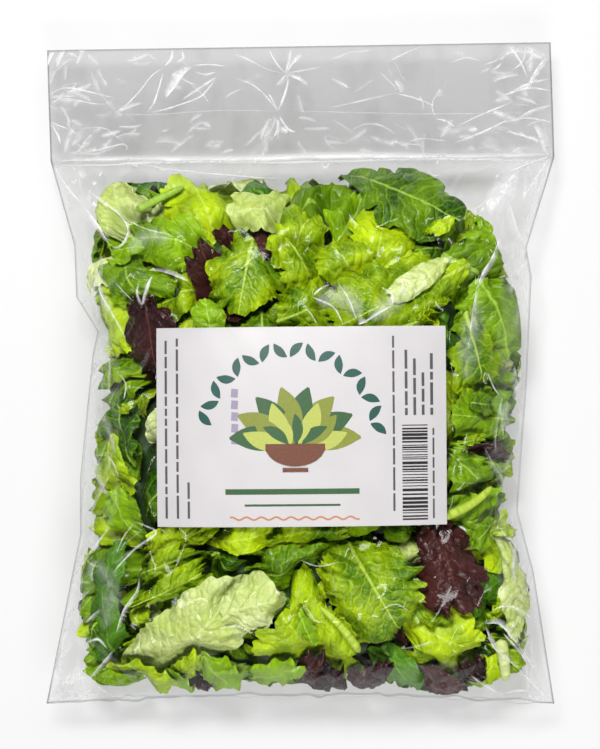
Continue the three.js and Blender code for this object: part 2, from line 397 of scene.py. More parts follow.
def film_material():
    """Clear film: tinted a little by each ply, with a gloss that grows as it turns from the eye."""
    n = Nodes("clear_film")
    _, (weld, haze, out) = n.fact("film")
    where = n.here()
    bump = n.bump(0.2, 0.0004, n.noise(where, 130.0, 3.0, 0.55))
    tint = n.blend(n.ramp(out, 0.0, 0.12), linear(*FILM_TINT), linear(*FLAP_TINT))
    tint = n.blend(weld, tint, linear(*WELD_TINT))
    clear = n.add("ShaderNodeBsdfTransparent", {"Color": tint}).outputs[0]
    gloss = n.add("ShaderNodeBsdfGlossy", {"Color": WHITE, "Roughness": FILM_ROUGHNESS, "Normal": bump})
    facing = n.add("ShaderNodeLayerWeight", {"Blend": 0.5, "Normal": bump}).outputs["Facing"]
    edge_on = n.math("POWER", facing, EDGE_POWER)
    share = n.math("MULTIPLY_ADD", edge_on, 1 - FILM_GLOSS, FILM_GLOSS, clamp=True)
    see = n.either(share, clear, gloss.outputs[0])
    milky = n.add("ShaderNodeBsdfDiffuse", {"Color": MILKY}).outputs[0]
    stretch = {"Vector": where, "Scale": (1.0, 0.45, 1.0), "Rotation": (0, 0, 0.6)}
    streaks = n.noise(n.add("ShaderNodeMapping", stretch).outputs[0], 55.0, 3.0, 0.6)
    veil = n.ramp(streaks, 0.48, 0.72, 0.0, VEIL)
    veil = n.math("MULTIPLY", veil, n.ramp(out, 0.0, 0.1, PILLOW_VEIL, 1.0))
    dull = n.math("MULTIPLY_ADD", haze, SEAL_HAZE, veil, clamp=True)
    return n.finish(n.either(dull, see, milky))


WHITE = (1, 1, 1, 1)
MILKY = (0.6, 0.6, 0.6, 1)  # own colour of what is milky in the film
FILM_TINT = (253, 253, 253)  # what is left of white light that has passed one ply
FLAP_TINT = (242, 242, 242)  # the flap's two plies lie close together and look greyer
WELD_TINT = (208, 209, 211)
FILM_ROUGHNESS = 0.07
FILM_GLOSS = 0.05  # share of light that the film mirrors head on
EDGE_POWER = 10.0  # how late the gloss grows as the film turns away
SEAL_HAZE = 0.10  # how milky the heat seal is
VEIL, PILLOW_VEIL = 0.05, 0.1  # how milky the film is where it is creased dull, and the pillow's share
LABEL_LIGHT = 1.82  # how much brighter than its own colour the label shows in the studio's light


def as_shown(red, green, blue):
    """The own colour of something on the label that shows as that screen colour."""
    return tuple(value / LABEL_LIGHT for value in linear(red, green, blue)[:3]) + (1.0,)


def paper_material():
    n = Nodes("label_stock")
    where = n.here()
    cloud = n.noise(where, 60.0, 3.0)
    grain = n.noise(where, 1400.0, 2.0)
    colour = n.blend(cloud, as_shown(227, 223, 224), as_shown(233, 229, 230))
    return n.finish(n.skin(colour, n.ramp(cloud, 0.3, 0.7, 0.42, 0.55), Normal=n.bump(0.12, 0.0002, grain)))


def ink_material(name, colour):
    n = Nodes(name)
    speckle = n.noise(n.here(), 900.0, 2.0)
    worn = tuple(min(255, value + 9) for value in colour)
    tone = n.blend(n.ramp(speckle, 0.35, 0.75), as_shown(*colour), as_shown(*worn))
    return n.finish(n.skin(tone, 0.5))


def painted_shade_core_material():
    n = Nodes("leaves_inside_painted_shade")
    where = n.here()
    # Very dark greens: painted shade deep in the heap, where the gaps between the leaves show it
    colour = n.blend(n.noise(where, 90.0, 3.0), linear(8, 22, 4), linear(40, 74, 14))
    return n.finish(n.skin(colour, 0.6, Normal=n.bump(0.8, 0.002, n.noise(where, 150.0, 3.0))))


def floor_material():
    """A pale sweep that glows a little, so that shadows on it stay light."""
    n = Nodes("studio_floor")
    tone = n.blend(n.noise(n.here(), 3.0, 2.0), *FLOOR_TONES)
    shine = dict(Specular_IOR_Level=0.0, Emission_Color=WHITE, Emission_Strength=FLOOR_GLOW)
    return n.finish(n.skin(tone, 0.9, **shine))


FLOOR_TONES = ((0.36, 0.36, 0.36, 1), (0.37, 0.37, 0.37, 1))
FLOOR_GLOW = 0.36  # the floor's own light


# The heap of leaves


# The heap ends this share of the way to the side seams and to the bottom seam.
HEAP_LEFT, HEAP_RIGHT = 0.98, 0.99
HEAP_BOTTOM = -0.995
# The ragged top of the heap: how far along it reaches at each place across.
HEAP_TOP = [
    (-0.95, 0.90), (-0.82, 0.985), (-0.74, 0.985), (-0.66, 0.96), (-0.49, 0.97), (-0.30, 0.94), (-0.14, 0.96),
    (0.02, 0.95), (0.14, 0.96), (0.25, 0.98), (0.45, 0.98), (0.56, 0.95), (0.66, 0.88), (0.74, 0.85),
    (0.84, 0.81), (0.95, 0.68),
]
HEAP_CORNER = 6.0  # how square the heap's plan is
HEAP_EASE, HEAP_LIMIT = 0.96, 1.0  # from the first reach on leaves are drawn in, and none passes the second
HEAP_X, HEAP_Y = (-112, 112), (-158, 94)  # ranges that hold the heap
UNDER_FILM = 1.0  # the leaves' room below the film
SLOPE_STEP = 0.75  # distance over which a slope is measured

CELL = 1.0  # cell of the plan maps
MAP_X, MAP_Y = 130, 170  # half sizes of the plan maps, in cells
EASE_REACH = 3  # how many cells round it a place's depth is evened out over
BUSY_REACH = 4  # how many cells round it count where the thinnest spot is looked for
FILL_REACH = 0.97  # how far out in the heap the middle of a random leaf may lie


def soft_root(value, corner=0.03):
    """The square root, carried smoothly past zero."""
    return np.sqrt((value + np.sqrt(value * value + corner * corner)) / 2)


def heap_shares(across, along):
    """A place as shares of the heap's own plan, and the middle of its length there."""
    over = across / np.where(across < 0, HEAP_LEFT, HEAP_RIGHT)
    top = np.interp(across, *zip(*HEAP_TOP))
    middle, half = (top + HEAP_BOTTOM) / 2, (top - HEAP_BOTTOM) / 2
    return over, (along - middle) / half, middle


def heap_height(x, y, side):
    """Height of the heap's surface: side 1 is its front, -1 its back."""
    across, along = shares(x, y)
    over, end, _ = heap_shares(across, along)
    full = soft_root(1 - np.abs(over) ** 3.2) * soft_root(1 - np.abs(end) ** 4.5)
    across, along = in_bag(across, along)
    seam = seam_height(along)
    if side > 0:
        own = seam + (FILL_DEPTH - SEAM_MIDDLE) * full
        return np.minimum(own, film_front(across, along) - UNDER_FILM)
    own = seam - BACK_DEPTH * full
    return np.maximum(own, film_back(across, along) + UNDER_FILM)


def heap_slopes(x, y, side):
    step = SLOPE_STEP
    east = heap_height(x + step, y, side) - heap_height(x - step, y, side)
    north = heap_height(x, y + step, side) - heap_height(x, y - step, side)
    return east / (2 * step), north / (2 * step)


def walk(x, y, east, north, side, steps=8):
    """Where one comes to from x, y by walking over the heap's surface that far east and north."""
    px, py = np.full_like(east, x), np.full_like(north, y)
    for _ in range(steps):
        sx, sy = heap_slopes(px, py, side)
        dx, dy = east / steps, north / steps
        far = np.hypot(dx, dy) + 1e-9
        slope = (sx * dx + sy * dy) / far
        short = 1 / np.sqrt(1 + slope * slope)
        px = px + dx * short
        py = py + dy * short
    return px, py


class Pile:
    """How deep the leaves laid so far reach below one face of the heap, over a plan of 1 mm cells."""

    def __init__(self):
        shape = (2 * MAP_Y + 1, 2 * MAP_X + 1)
        self.depth = np.zeros(shape)
        self.cover = np.zeros(shape)
        self.eased = np.zeros(shape)

    @staticmethod
    def cell(x, y):
        column = np.clip(np.rint(x / CELL).astype(int) + MAP_X, 0, 2 * MAP_X)
        row = np.clip(np.rint(y / CELL).astype(int) + MAP_Y, 0, 2 * MAP_Y)
        return row, column

    @staticmethod
    def spread(values, reach, join):
        for axis in (0, 1):
            total = values.copy()
            for step in range(1, reach + 1):
                total = join(total, np.roll(values, step, axis))
                total = join(total, np.roll(values, -step, axis))
            values = total
        return values

    def lay(self, x, y, depth):
        row, column = self.cell(x, y)
        np.maximum.at(self.depth, (row, column), depth)
        seen = np.zeros_like(self.cover)
        seen[row, column] = 1
        self.cover += self.spread(seen, 1, np.maximum)
        wide = self.spread(self.depth, EASE_REACH, np.maximum)
        self.eased = self.spread(wide, EASE_REACH, np.add) / (2 * EASE_REACH + 1) ** 2

    def floor(self, x, y):
        row, column = self.cell(x, y)
        return self.eased[row, column]

    def thin_spot(self, rng, tries=14):
        """Of some random places in the heap, the one that has the fewest leaves round it."""
        busy = self.spread(self.cover, BUSY_REACH, np.add)
        x = rng.uniform(*HEAP_X, tries)
        y = rng.uniform(*HEAP_Y, tries)
        across, along = shares(x, y)
        outside = heap_reach(across, along) > FILL_REACH
        best = np.argmin(busy[self.cell(x, y)] + 1e4 * outside)
        return float(x[best]), float(y[best])


# The form of each kind: lobes of the edge and how deep they are, teeth and their depth, unevenness of the
# outline, how much broader the tip is than the base, height and number of the ruffles, height of the
# swellings between the veins, of the crumpling, and width of the rib.
LEAF_FORMS = {
    "bright": dict(lobes=9, notch=0.24, teeth=40, tooth=0.055, uneven=0.15, taper=0.22, ruffle=3.8,
                   waves=9, quilt=0.8, crumple=0.6, rib=0.7),
    "pale": dict(lobes=5, notch=0.18, teeth=30, tooth=0.035, uneven=0.17, taper=0.28, ruffle=1.9,
                 waves=5, quilt=0.7, crumple=0.5, rib=1.0),
    "mid": dict(lobes=6, notch=0.19, teeth=28, tooth=0.035, uneven=0.15, taper=0.10, ruffle=3.0,
                waves=7, quilt=0.7, crumple=0.6, rib=0.8),
    "dark": dict(lobes=3, notch=0.08, teeth=16, tooth=0.012, uneven=0.10, taper=-0.12, ruffle=2.2,
                 waves=5, quilt=0.5, crumple=0.5, rib=0.7),
    "red": dict(lobes=7, notch=0.22, teeth=36, tooth=0.045, uneven=0.16, taper=0.18, ruffle=4.2,
                waves=9, quilt=1.2, crumple=1.2, rib=0.7),
}
LEAF_THICKNESS = 0.45
PRESS = 0.9  # how softly the film presses down what would rise above a leaf's own depth
PHASES = 6.28  # a random phase is from 0 to about a full turn
NAMED_CELL, FILL_CELL, BACK_CELL = 1.5, 1.9, 2.5  # how long the cells of a leaf's mesh are about


def disc_grid(cells):
    """Points of a grid of cells by cells, drawn into a disc."""
    line = np.linspace(-1, 1, cells + 1)
    u, v = np.meshgrid(line, line)
    return (u * np.sqrt(1 - v * v / 2)).ravel(), (v * np.sqrt(1 - u * u / 2)).ravel()


def waves_of(rng, angle, lowest, highest):
    """A closed wavy line round the leaf, about 1 high."""
    total = np.zeros_like(angle)
    for number in range(lowest, highest + 1):
        total += rng.normal() * np.cos(number * angle + rng.uniform(0, 2 * np.pi))
    return total / math.sqrt(highest - lowest + 1)


def heap_reach(across, along):
    """How far out a place is in the heap's rounded plan: 1 at the farthest that a leaf gets."""
    over, end, _ = heap_shares(across, along)
    return (np.abs(over) ** HEAP_CORNER + np.abs(end) ** HEAP_CORNER) ** (1 / HEAP_CORNER)


def inside_seams(x, y):
    """Draws places near the seams or beyond them back into the heap's plan."""
    across, along = shares(x, y)
    reach = np.maximum(heap_reach(across, along), 1e-6)
    room = HEAP_LIMIT - HEAP_EASE
    drawn = np.where(reach > HEAP_EASE, HEAP_EASE + room * np.tanh((reach - HEAP_EASE) / room), reach)
    middle = heap_shares(across, along)[2]
    return bag_place(across * drawn / reach, middle + (along - middle) * drawn / reach)


def rim_place(share, reach):
    """A place near the heap's rim and the way outwards there; share runs round the heap from 0 to 1."""
    side, part = divmod(4 * share, 1)
    p = 2 * part - 1
    over, end, heading = ((p, -1, -90), (1, p, 0), (-p, 1, 90), (-1, -p, 180))[int(side)]
    inwards = reach / (abs(p) ** HEAP_CORNER + 1) ** (1 / HEAP_CORNER)
    across = over * inwards * (HEAP_LEFT if over < 0 else HEAP_RIGHT)
    top = np.interp(across, *zip(*HEAP_TOP))
    along = (top + HEAP_BOTTOM) / 2 + end * inwards * (top - HEAP_BOTTOM) / 2
    x, y = bag_place(across, along)
    return float(x), float(y), heading


def inside_film(points):
    """Keeps points between the two plies of film."""
    across, along = shares(points[:, 0], points[:, 1])
    across, along = in_bag(across, along)
    top = film_front(across, along) - 0.6 * UNDER_FILM
    bottom = film_back(across, along) + 0.6 * UNDER_FILM
    middle = (top + bottom) / 2
    points[:, 2] = np.clip(points[:, 2], np.minimum(bottom, middle), np.maximum(top, middle))
    return points


def leaf_plan(rng, form, u, v, length, width):
    """Where the points of a disc are along and across a leaf that has lobes and teeth."""
    angle = np.arctan2(v, u)
    rim = np.minimum(1, np.hypot(u, v)) ** 3
    # Deep lobes of uneven width, fine teeth, and an outline that is uneven as a whole
    warped = angle + 0.42 * waves_of(rng, angle, 1, 4)
    lobe = 1 - np.abs(np.sin(form["lobes"] * warped / 2 + rng.uniform(0, np.pi)))
    lobe = lobe ** 1.6 * np.clip(0.7 + 0.6 * waves_of(rng, angle, 2, 6), 0.05, 1.7)
    saw_place = (form["teeth"] * (angle + 0.12 * waves_of(rng, angle, 3, 8)) / (2 * np.pi)) % 1
    saw = (np.abs(saw_place - 0.5) * 4 - 1) * np.clip(0.8 + 0.6 * waves_of(rng, angle, 3, 9), 0, 2)
    outline = 1 + form["uneven"] * waves_of(rng, angle, 2, 5)
    outline = outline - form["notch"] * lobe - form["tooth"] * saw
    grow = 1 + (np.clip(outline, 0.45, 1.4) - 1) * rim
    along = u * grow * length / 2
    across = v * grow * width / 2 * (1 + form["taper"] * u)
    across = across + width * 0.12 * rng.normal() * u * u
    return warped, along, across


def leaf_rise(rng, form, u, v, warped, along, across, length, width, tilt, bend):
    """Height of the blade over its own plane, and half the width of its rib."""
    angle = np.arctan2(v, u)
    radius = np.minimum(1, np.hypot(u, v))
    # The blade leans and bends as a whole
    tilt_along, tilt_across = rng.normal(0, tilt, 2)
    rise = tilt_along * along + tilt_across * across
    rise = rise - bend * rng.uniform(0.0, 0.10) * length * u * u
    rise = rise + bend * rng.normal(-0.05, 0.08) * width * v * v
    # Its rim is ruffled
    frill = np.sin(form["waves"] * warped + rng.uniform(0, PHASES)) + 0.5 * waves_of(rng, angle, 9, 13)
    curl = np.sin(2.2 * form["waves"] * warped + rng.uniform(0, PHASES))
    frill = frill * radius ** 2.6 + 0.3 * curl * radius ** 6
    rise = rise + form["ruffle"] * (width / 34) ** 0.5 * frill
    # It swells between the side veins, is crumpled, and has two soft kinks
    lane = (along - VEIN_LEAN * np.abs(across)) * VEIN_LANES
    swell = np.abs(np.sin(np.pi * lane + rng.uniform(0, 3)))
    rise = rise + form["quilt"] * swell * (1 - 0.3 * radius)
    for _ in range(4):
        heading = rng.uniform(0, 2 * np.pi)
        pace = rng.uniform(0.25, 0.65)
        phase = pace * (along * np.cos(heading) + across * np.sin(heading)) + rng.uniform(0, PHASES)
        rise = rise + 0.6 * form["crumple"] * (np.abs(np.sin(phase)) * 2 - 1)
    for _ in range(2):
        heading = rng.uniform(0, 2 * np.pi)
        past = along * np.cos(heading) + across * np.sin(heading) - rng.uniform(0.0, 0.3) * length
        rise = rise - bend * rng.uniform(0.15, 0.7) * 1.2 * np.logaddexp(0, past / 1.2)
    # Its rib narrows towards the tip
    rib_width = form["rib"] * (width / 30) ** 0.5 * (1.15 - 0.85 * (u + 1) / 2)
    rise = rise + 0.9 * form["rib"] * np.exp(-((across / (1.3 * rib_width)) ** 2)) * (1 - 0.6 * (u + 1) / 2)
    return rise, rib_width


def under_film(pile, px, py, rise, side, deep, gap):
    """Slips a leaf under the film and all that the pile holds: its middle, and the way out of the heap."""
    depth = PRESS * np.logaddexp(0, (deep - rise) / PRESS)
    depth = np.maximum(depth, pile.floor(px, py) + gap)
    pile.lay(px, py, depth)
    slope_x, slope_y = heap_slopes(px, py, side)
    normal = np.stack([-slope_x * side, -slope_y * side, np.full_like(slope_x, side)], axis=1)
    normal /= np.linalg.norm(normal, axis=1)[:, None]
    base = np.stack([px, py, heap_height(px, py, side)], axis=1)
    return inside_film(base - normal * depth[:, None]), normal


def leaf_faces(cells, flip):
    """Triangles of the two faces of a leaf, which share the points of the rim."""
    size = cells + 1
    index = np.arange(size * size).reshape(size, size)
    on_rim = np.ones((size, size), bool)
    on_rim[1:-1, 1:-1] = False
    second = np.where(on_rim, index, index + size * size)
    triangles = grid_triangles(cells, cells, flip)
    triangles = triangles[~on_rim.ravel()[triangles].all(axis=1)]
    return np.concatenate([triangles, second.ravel()[triangles][:, ::-1]])


def lay_leaf(gathered, pile, rng, kind, x, y, turn, length, width, side=1, deep=1.0, tilt=0.1,
             flat_plan=False, gap=0.9, bend=1.0, cell=FILL_CELL):
    """Grows one leaf and slips it under the film on top of, or beneath, what the pile holds already."""
    form = LEAF_FORMS[kind]
    cells = int(np.clip(round((length + width) / 2 / cell), 10, 44))
    u, v = disc_grid(cells)
    warped, along, across = leaf_plan(rng, form, u, v, length, width)
    rise, rib_width = leaf_rise(rng, form, u, v, warped, along, across, length, width, tilt, bend)
    east, north = turned(along, across, math.radians(turn))
    if flat_plan:
        px, py = x + east, y + north
    else:
        px, py = walk(x, y, east, north, side)
    px, py = inside_seams(px, py)
    middle, normal = under_film(pile, px, py, rise, side, deep, gap)
    radius = np.minimum(1, np.hypot(u, v))
    half = (LEAF_THICKNESS / 2 * (1 - radius ** 6))[:, None] * normal
    blade = np.stack([along, across, radius], axis=1)
    tone, seed = np.clip(rng.normal(0.5, 0.25), 0.05, 0.95), rng.uniform(0, 1)
    own = np.stack([np.full_like(u, tone), np.full_like(u, seed), rib_width], axis=1)
    keep, triangles = np.unique(leaf_faces(cells, side < 0), return_inverse=True)
    faces = ((middle + half, middle - half), (blade, blade), (own, own))
    points, blade, own = [np.concatenate(pair)[keep] for pair in faces]
    gathered[kind].add(points, triangles.reshape(-1, 3), blade=blade, own=own)


def lay_stem(gathered, pile, rng, kind, x, y, turn, length, thickness, deep=1.5):
    """A leaf stalk: a tapered, slightly bent tube."""
    stations, sides = 18, 10
    share = np.linspace(0, 1, stations + 1)
    heading = math.radians(turn)
    along = (share - 0.5) * length
    sway = rng.normal(0, 0.06) * length * (2 * share - 1) ** 2
    east, north = turned(along, sway, heading)
    px, py = x + east, y + north
    depth = np.maximum(deep + thickness / 2, pile.floor(px, py) + thickness / 2 + 0.5)
    pile.lay(px, py, depth + thickness / 2)
    middle = np.stack([px, py, heap_height(px, py, 1) - depth], axis=1)
    round_angle = np.linspace(0, 2 * np.pi, sides, endpoint=False)
    swell = thickness / 2 * (1.15 - 0.4 * share) * np.sqrt(np.clip(1 - (2 * share - 1) ** 8, 0.02, 1))
    sideways = np.array([-math.sin(heading), math.cos(heading), 0])
    up = np.array([0, 0, 1.0])
    ring = np.cos(round_angle)[None, :, None] * sideways + np.sin(round_angle)[None, :, None] * up
    points = (middle[:, None, :] + ring * swell[:, None, None]).reshape(-1, 3)
    r, c = np.meshgrid(np.arange(stations), np.arange(sides), indexing="ij")
    a = (r * sides + c).ravel()
    b = (r * sides + (c + 1) % sides).ravel()
    walls = np.concatenate([np.stack([a, b, b + sides], 1), np.stack([a, b + sides, a + sides], 1)])
    fan = np.arange(1, sides - 1)
    last = stations * sides
    start = np.stack([np.zeros_like(fan), fan + 1, fan], 1)
    stop = np.stack([np.full_like(fan, last), last + fan, last + fan + 1], 1)
    blade = np.stack([np.repeat(along, sides), np.zeros(len(points)), np.zeros(len(points))], axis=1)
    own = np.array([0.6, rng.uniform(), 3.0])
    triangles = np.concatenate([walls, start, stop])[:, ::-1]
    gathered[kind].add(inside_film(points), triangles, blade=blade, own=own)


# The leaves that can be told apart on the front, lowest first: kind, place of the middle, direction of
# the tip in degrees anticlockwise from +X, length and width.
FRONT_LEAVES = [
    ("mid", -90, -26, 100, 34, 18), ("bright", -93, -50, -80, 34, 18), ("mid", -88, -68, -70, 30, 18),
    ("mid", -33, -156, 0, 40, 16), ("red", 38, -156, 3, 66, 17), ("bright", 14, -100, -35, 40, 26),
    ("bright", -26, -79, 10, 46, 16), ("bright", 3, -83, 10, 46, 22), ("mid", -6, -96, 20, 40, 22),
    ("dark", -20, 91, 150, 28, 20), ("mid", 10, 87, 15, 40, 24), ("mid", 24, 79, 60, 30, 24),
    ("pale", -90, 82, 98, 50, 32), ("dark", -50, 92, 80, 22, 16), ("red", -74, 70, 10, 20, 12),
    ("bright", -46, 81, 115, 44, 38), ("red", -25, 69, -15, 36, 16), ("pale", -19, 80, 5, 34, 17),
    ("mid", -66, 65, 172, 56, 26), ("bright", -60, 38, 205, 38, 28), ("mid", -83, 43, -62, 36, 28),
    ("red", -45, 50, -75, 34, 18), ("red", -30, 36, 60, 26, 20), ("red", -73, 16, -80, 44, 30),
    ("bright", -26, 49, -100, 42, 38), ("mid", -44, 26, 100, 20, 16),
    ("bright", -2, 66, 60, 34, 28), ("bright", 4, 49, -60, 36, 30), ("bright", 8, 32, 20, 40, 30),
    ("bright", 38, 62, 80, 40, 34), ("bright", 22, 54, 130, 32, 26), ("mid", 51, 87, -25, 58, 34),
    ("mid", 97, 69, 70, 32, 26), ("mid", 90, 50, -25, 46, 32), ("bright", 47, 36, 205, 70, 46),
    ("pale", 58, 46, 215, 36, 13), ("mid", 98, 27, -70, 44, 34), ("bright", 86, 6, -75, 46, 28),
    ("mid", 94, -22, 175, 40, 28), ("red", 94, -40, 0, 20, 12), ("mid", 86, -50, -45, 34, 26),
    ("mid", 92, -70, 10, 36, 26), ("bright", 103, -84, -80, 32, 20),
    ("bright", -66, -83, 25, 52, 17), ("bright", -68, -93, 20, 48, 15), ("bright", -62, -104, 25, 42, 16),
    ("dark", -95, -96, 85, 34, 16), ("dark", -95, -126, 95, 46, 20), ("bright", -80, -150, -75, 34, 26),
    ("bright", 66, -150, -20, 48, 26), ("bright", 70, -130, -20, 44, 30), ("bright", 60, -112, 10, 34, 24),
    ("red", 72, -94, -75, 48, 38), ("pale", 105, -101, -87, 54, 14), ("red", 44, -132, -60, 18, 12),
    ("pale", -54, -130, 42, 68, 46), ("pale", -24, -112, 15, 32, 26),
    ("bright", 37, -106, -60, 60, 50), ("bright", 4, -136, 125, 66, 42),
]
FRONT_STEMS = [
    ("mid", -68, 84, 27, 26, 4.0), ("bright", 80, -64, 28, 30, 4.5), ("pale", 99, -140, -80, 22, 6.0),
    ("mid", 45, 20, 15, 24, 3.0), ("bright", 20, -122, 130, 30, 4.0),
]
# How many random leaves there are: in the row along the bottom seam, as small bits on top, round the rim
# and beneath the named ones, and on the back.
BOTTOM_ROW, FRONT_BITS, RIM_FILL, FRONT_FILL, BACK_FILL = 13, 9, 58, 105, 100
RIM_REACH = (0.91, 0.98)
LOWER_DEPTH = 3.5  # how much deeper the lower ones of the fill lie
FILL_KINDS = ("bright", "mid", "dark", "red", "pale")
BIT_KINDS = ("bright", "bright", "mid")
# How common each kind is among the upper and the lower ones
UPPER_SHARES = (0.44, 0.30, 0.10, 0.06, 0.10)
LOWER_SHARES = (0.40, 0.34, 0.13, 0.07, 0.06)


def bottom_row(gathered, pile, rng):
    """Small leaves in a ragged row along the bottom seam, with red ones in its right half."""
    for number in range(BOTTOM_ROW):
        x = mix(-104, 104, (number + rng.uniform(0, 1)) / BOTTOM_ROW)
        kind = "red" if 10 < x < 84 and number % 3 else rng.choice(FILL_KINDS, p=LOWER_SHARES)
        length = rng.uniform(18, 36)
        y, turn = bottom_y(x / BOTTOM_HALF) + rng.uniform(5, 13), rng.uniform(-75, 75)
        width, deep = length * rng.uniform(0.45, 0.7), rng.uniform(0.8, 4.5)
        lay_leaf(gathered, pile, rng, kind, x, y, turn, length, width, deep=deep, tilt=0.12,
                 flat_plan=True, gap=0.8, bend=0.6)


def rim_leaves(gathered, pile, rng):
    """Leaves all round the heap's rim that point outwards."""
    for number in range(RIM_FILL):
        share = (number + rng.uniform(-0.3, 0.3)) / RIM_FILL % 1
        x, y, heading = rim_place(share, rng.uniform(*RIM_REACH))
        length = rng.uniform(24, 38)
        kind, turn = rng.choice(FILL_KINDS, p=LOWER_SHARES), heading + rng.uniform(-80, 80)
        width, deep = length * rng.uniform(0.6, 0.9), rng.uniform(2.5, 5.0)
        lay_leaf(gathered, pile, rng, kind, x, y, turn, length, width, deep=deep, tilt=0.15,
                 flat_plan=True, gap=rng.uniform(0.9, 2.0))


def fill_heap(gathered, pile, rng, count, upper, lengths, depths, gaps, **how):
    """Random leaves where the fewest lie, from the film inwards; upper is the share of the upper ones."""
    for number in range(count):
        lower = number > count * upper
        kind = rng.choice(FILL_KINDS, p=LOWER_SHARES if lower else UPPER_SHARES)
        x, y = pile.thin_spot(rng)
        length = rng.uniform(*lengths)
        width, turn = length * rng.uniform(0.55, 0.85), rng.uniform(0, 360)
        deep = rng.uniform(*depths) + (LOWER_DEPTH if lower else 0)
        lay_leaf(gathered, pile, rng, kind, x, y, turn, length, width, deep=deep,
                 gap=rng.uniform(*gaps), **how)


def front_leaves(gathered):
    """Lays the front from the film inwards: the leaves that can be told apart, then those beneath."""
    pile = Pile()
    label_y, label_x = np.meshgrid(np.arange(-66, 16), np.arange(-62, 63), indexing="ij")
    pile.cover[Pile.cell(label_x, label_y)] += 4  # few leaves go where the label hides them
    rng = np.random.default_rng(11)
    for kind, x, y, turn, length, thickness in FRONT_STEMS:
        lay_stem(gathered, pile, rng, kind, x, y, turn, length, thickness)
    bottom_row(gathered, pile, np.random.default_rng(57))
    for _ in range(FRONT_BITS):
        kind = rng.choice(BIT_KINDS)
        x, y = pile.thin_spot(rng, tries=3)
        length = rng.uniform(14, 26)
        turn, width = rng.uniform(0, 360), length * rng.uniform(0.3, 0.55)
        lay_leaf(gathered, pile, rng, kind, x, y, turn, length, width,
                 deep=rng.uniform(1.6, 3.0), tilt=0.15, gap=0.6, bend=0.5, cell=NAMED_CELL)
    for kind, x, y, turn, length, width in reversed(FRONT_LEAVES):
        lay_leaf(gathered, pile, rng, kind, x, y, turn, length, width, deep=rng.uniform(2.0, 4.5),
                 tilt=0.09, flat_plan=True, gap=rng.uniform(1.2, 3.4), cell=NAMED_CELL)
    rim_leaves(gathered, pile, rng)
    fill_heap(gathered, pile, rng, FRONT_FILL, 0.45, (24, 46), (2.0, 4.5), (1.6, 3.6), tilt=0.22, bend=1.6)


def back_leaves(gathered):
    fill_heap(gathered, Pile(), np.random.default_rng(23), BACK_FILL, 0.6, (34, 58), (0.6, 2.5), (0.8, 1.8),
              tilt=0.10, side=-1, cell=BACK_CELL)


CORE_DEPTH = 19.0  # how far inside the heap its core begins
# How much of the bag's width and of its length the core takes up, and how far down it is shifted
CORE_ACROSS, CORE_ALONG, CORE_DOWN = 0.80, 0.84, 0.04


def heap_core():
    """The inside of the heap, a lumpy body under all the leaves that stands for the inner ones; its very dark
    green is painted shade.
    """
    columns, rows = 90, 110
    across, along = np.meshgrid(np.linspace(-1, 1, columns + 1), np.linspace(-1, 1, rows + 1))
    u = across * np.sqrt(1 - along * along / 2) * CORE_ACROSS
    v = along * np.sqrt(1 - across * across / 2) * CORE_ALONG - CORE_DOWN
    x, y = bag_place(u, v)
    lumps = np.sin(0.31 * x + 1) * np.cos(0.27 * y) + np.sin(0.17 * x - 0.23 * y)
    top, bottom = heap_height(x, y, 1), heap_height(x, y, -1)
    room = (top - bottom) / 2 - 1
    inset = np.minimum(CORE_DEPTH + 2.5 * lumps, room)
    edge = np.maximum(np.abs(across), np.abs(along)) >= 1
    inset = np.where(edge, (top - bottom) / 2, inset)
    upper = np.stack([x, y, top - inset], axis=-1)
    lower = np.stack([x, y, bottom + inset], axis=-1)
    points, triangles = closed_sheet(upper, lower)
    return dress(add_mesh("heap_core", points, triangles, [painted_shade_core_material()]), "bag")


def make_leaves():
    gathered = {kind: Gathered() for kind in LEAF_LOOKS}
    front_leaves(gathered)
    back_leaves(gathered)
    pieces = [heap_core()]
    for kind, leaves in gathered.items():
        material = leaf_material("leaf_" + kind, LEAF_LOOKS[kind])
        pieces.append(dress(leaves.mesh("leaves_" + kind, [material], sharp=75), "bag"))
    return pieces
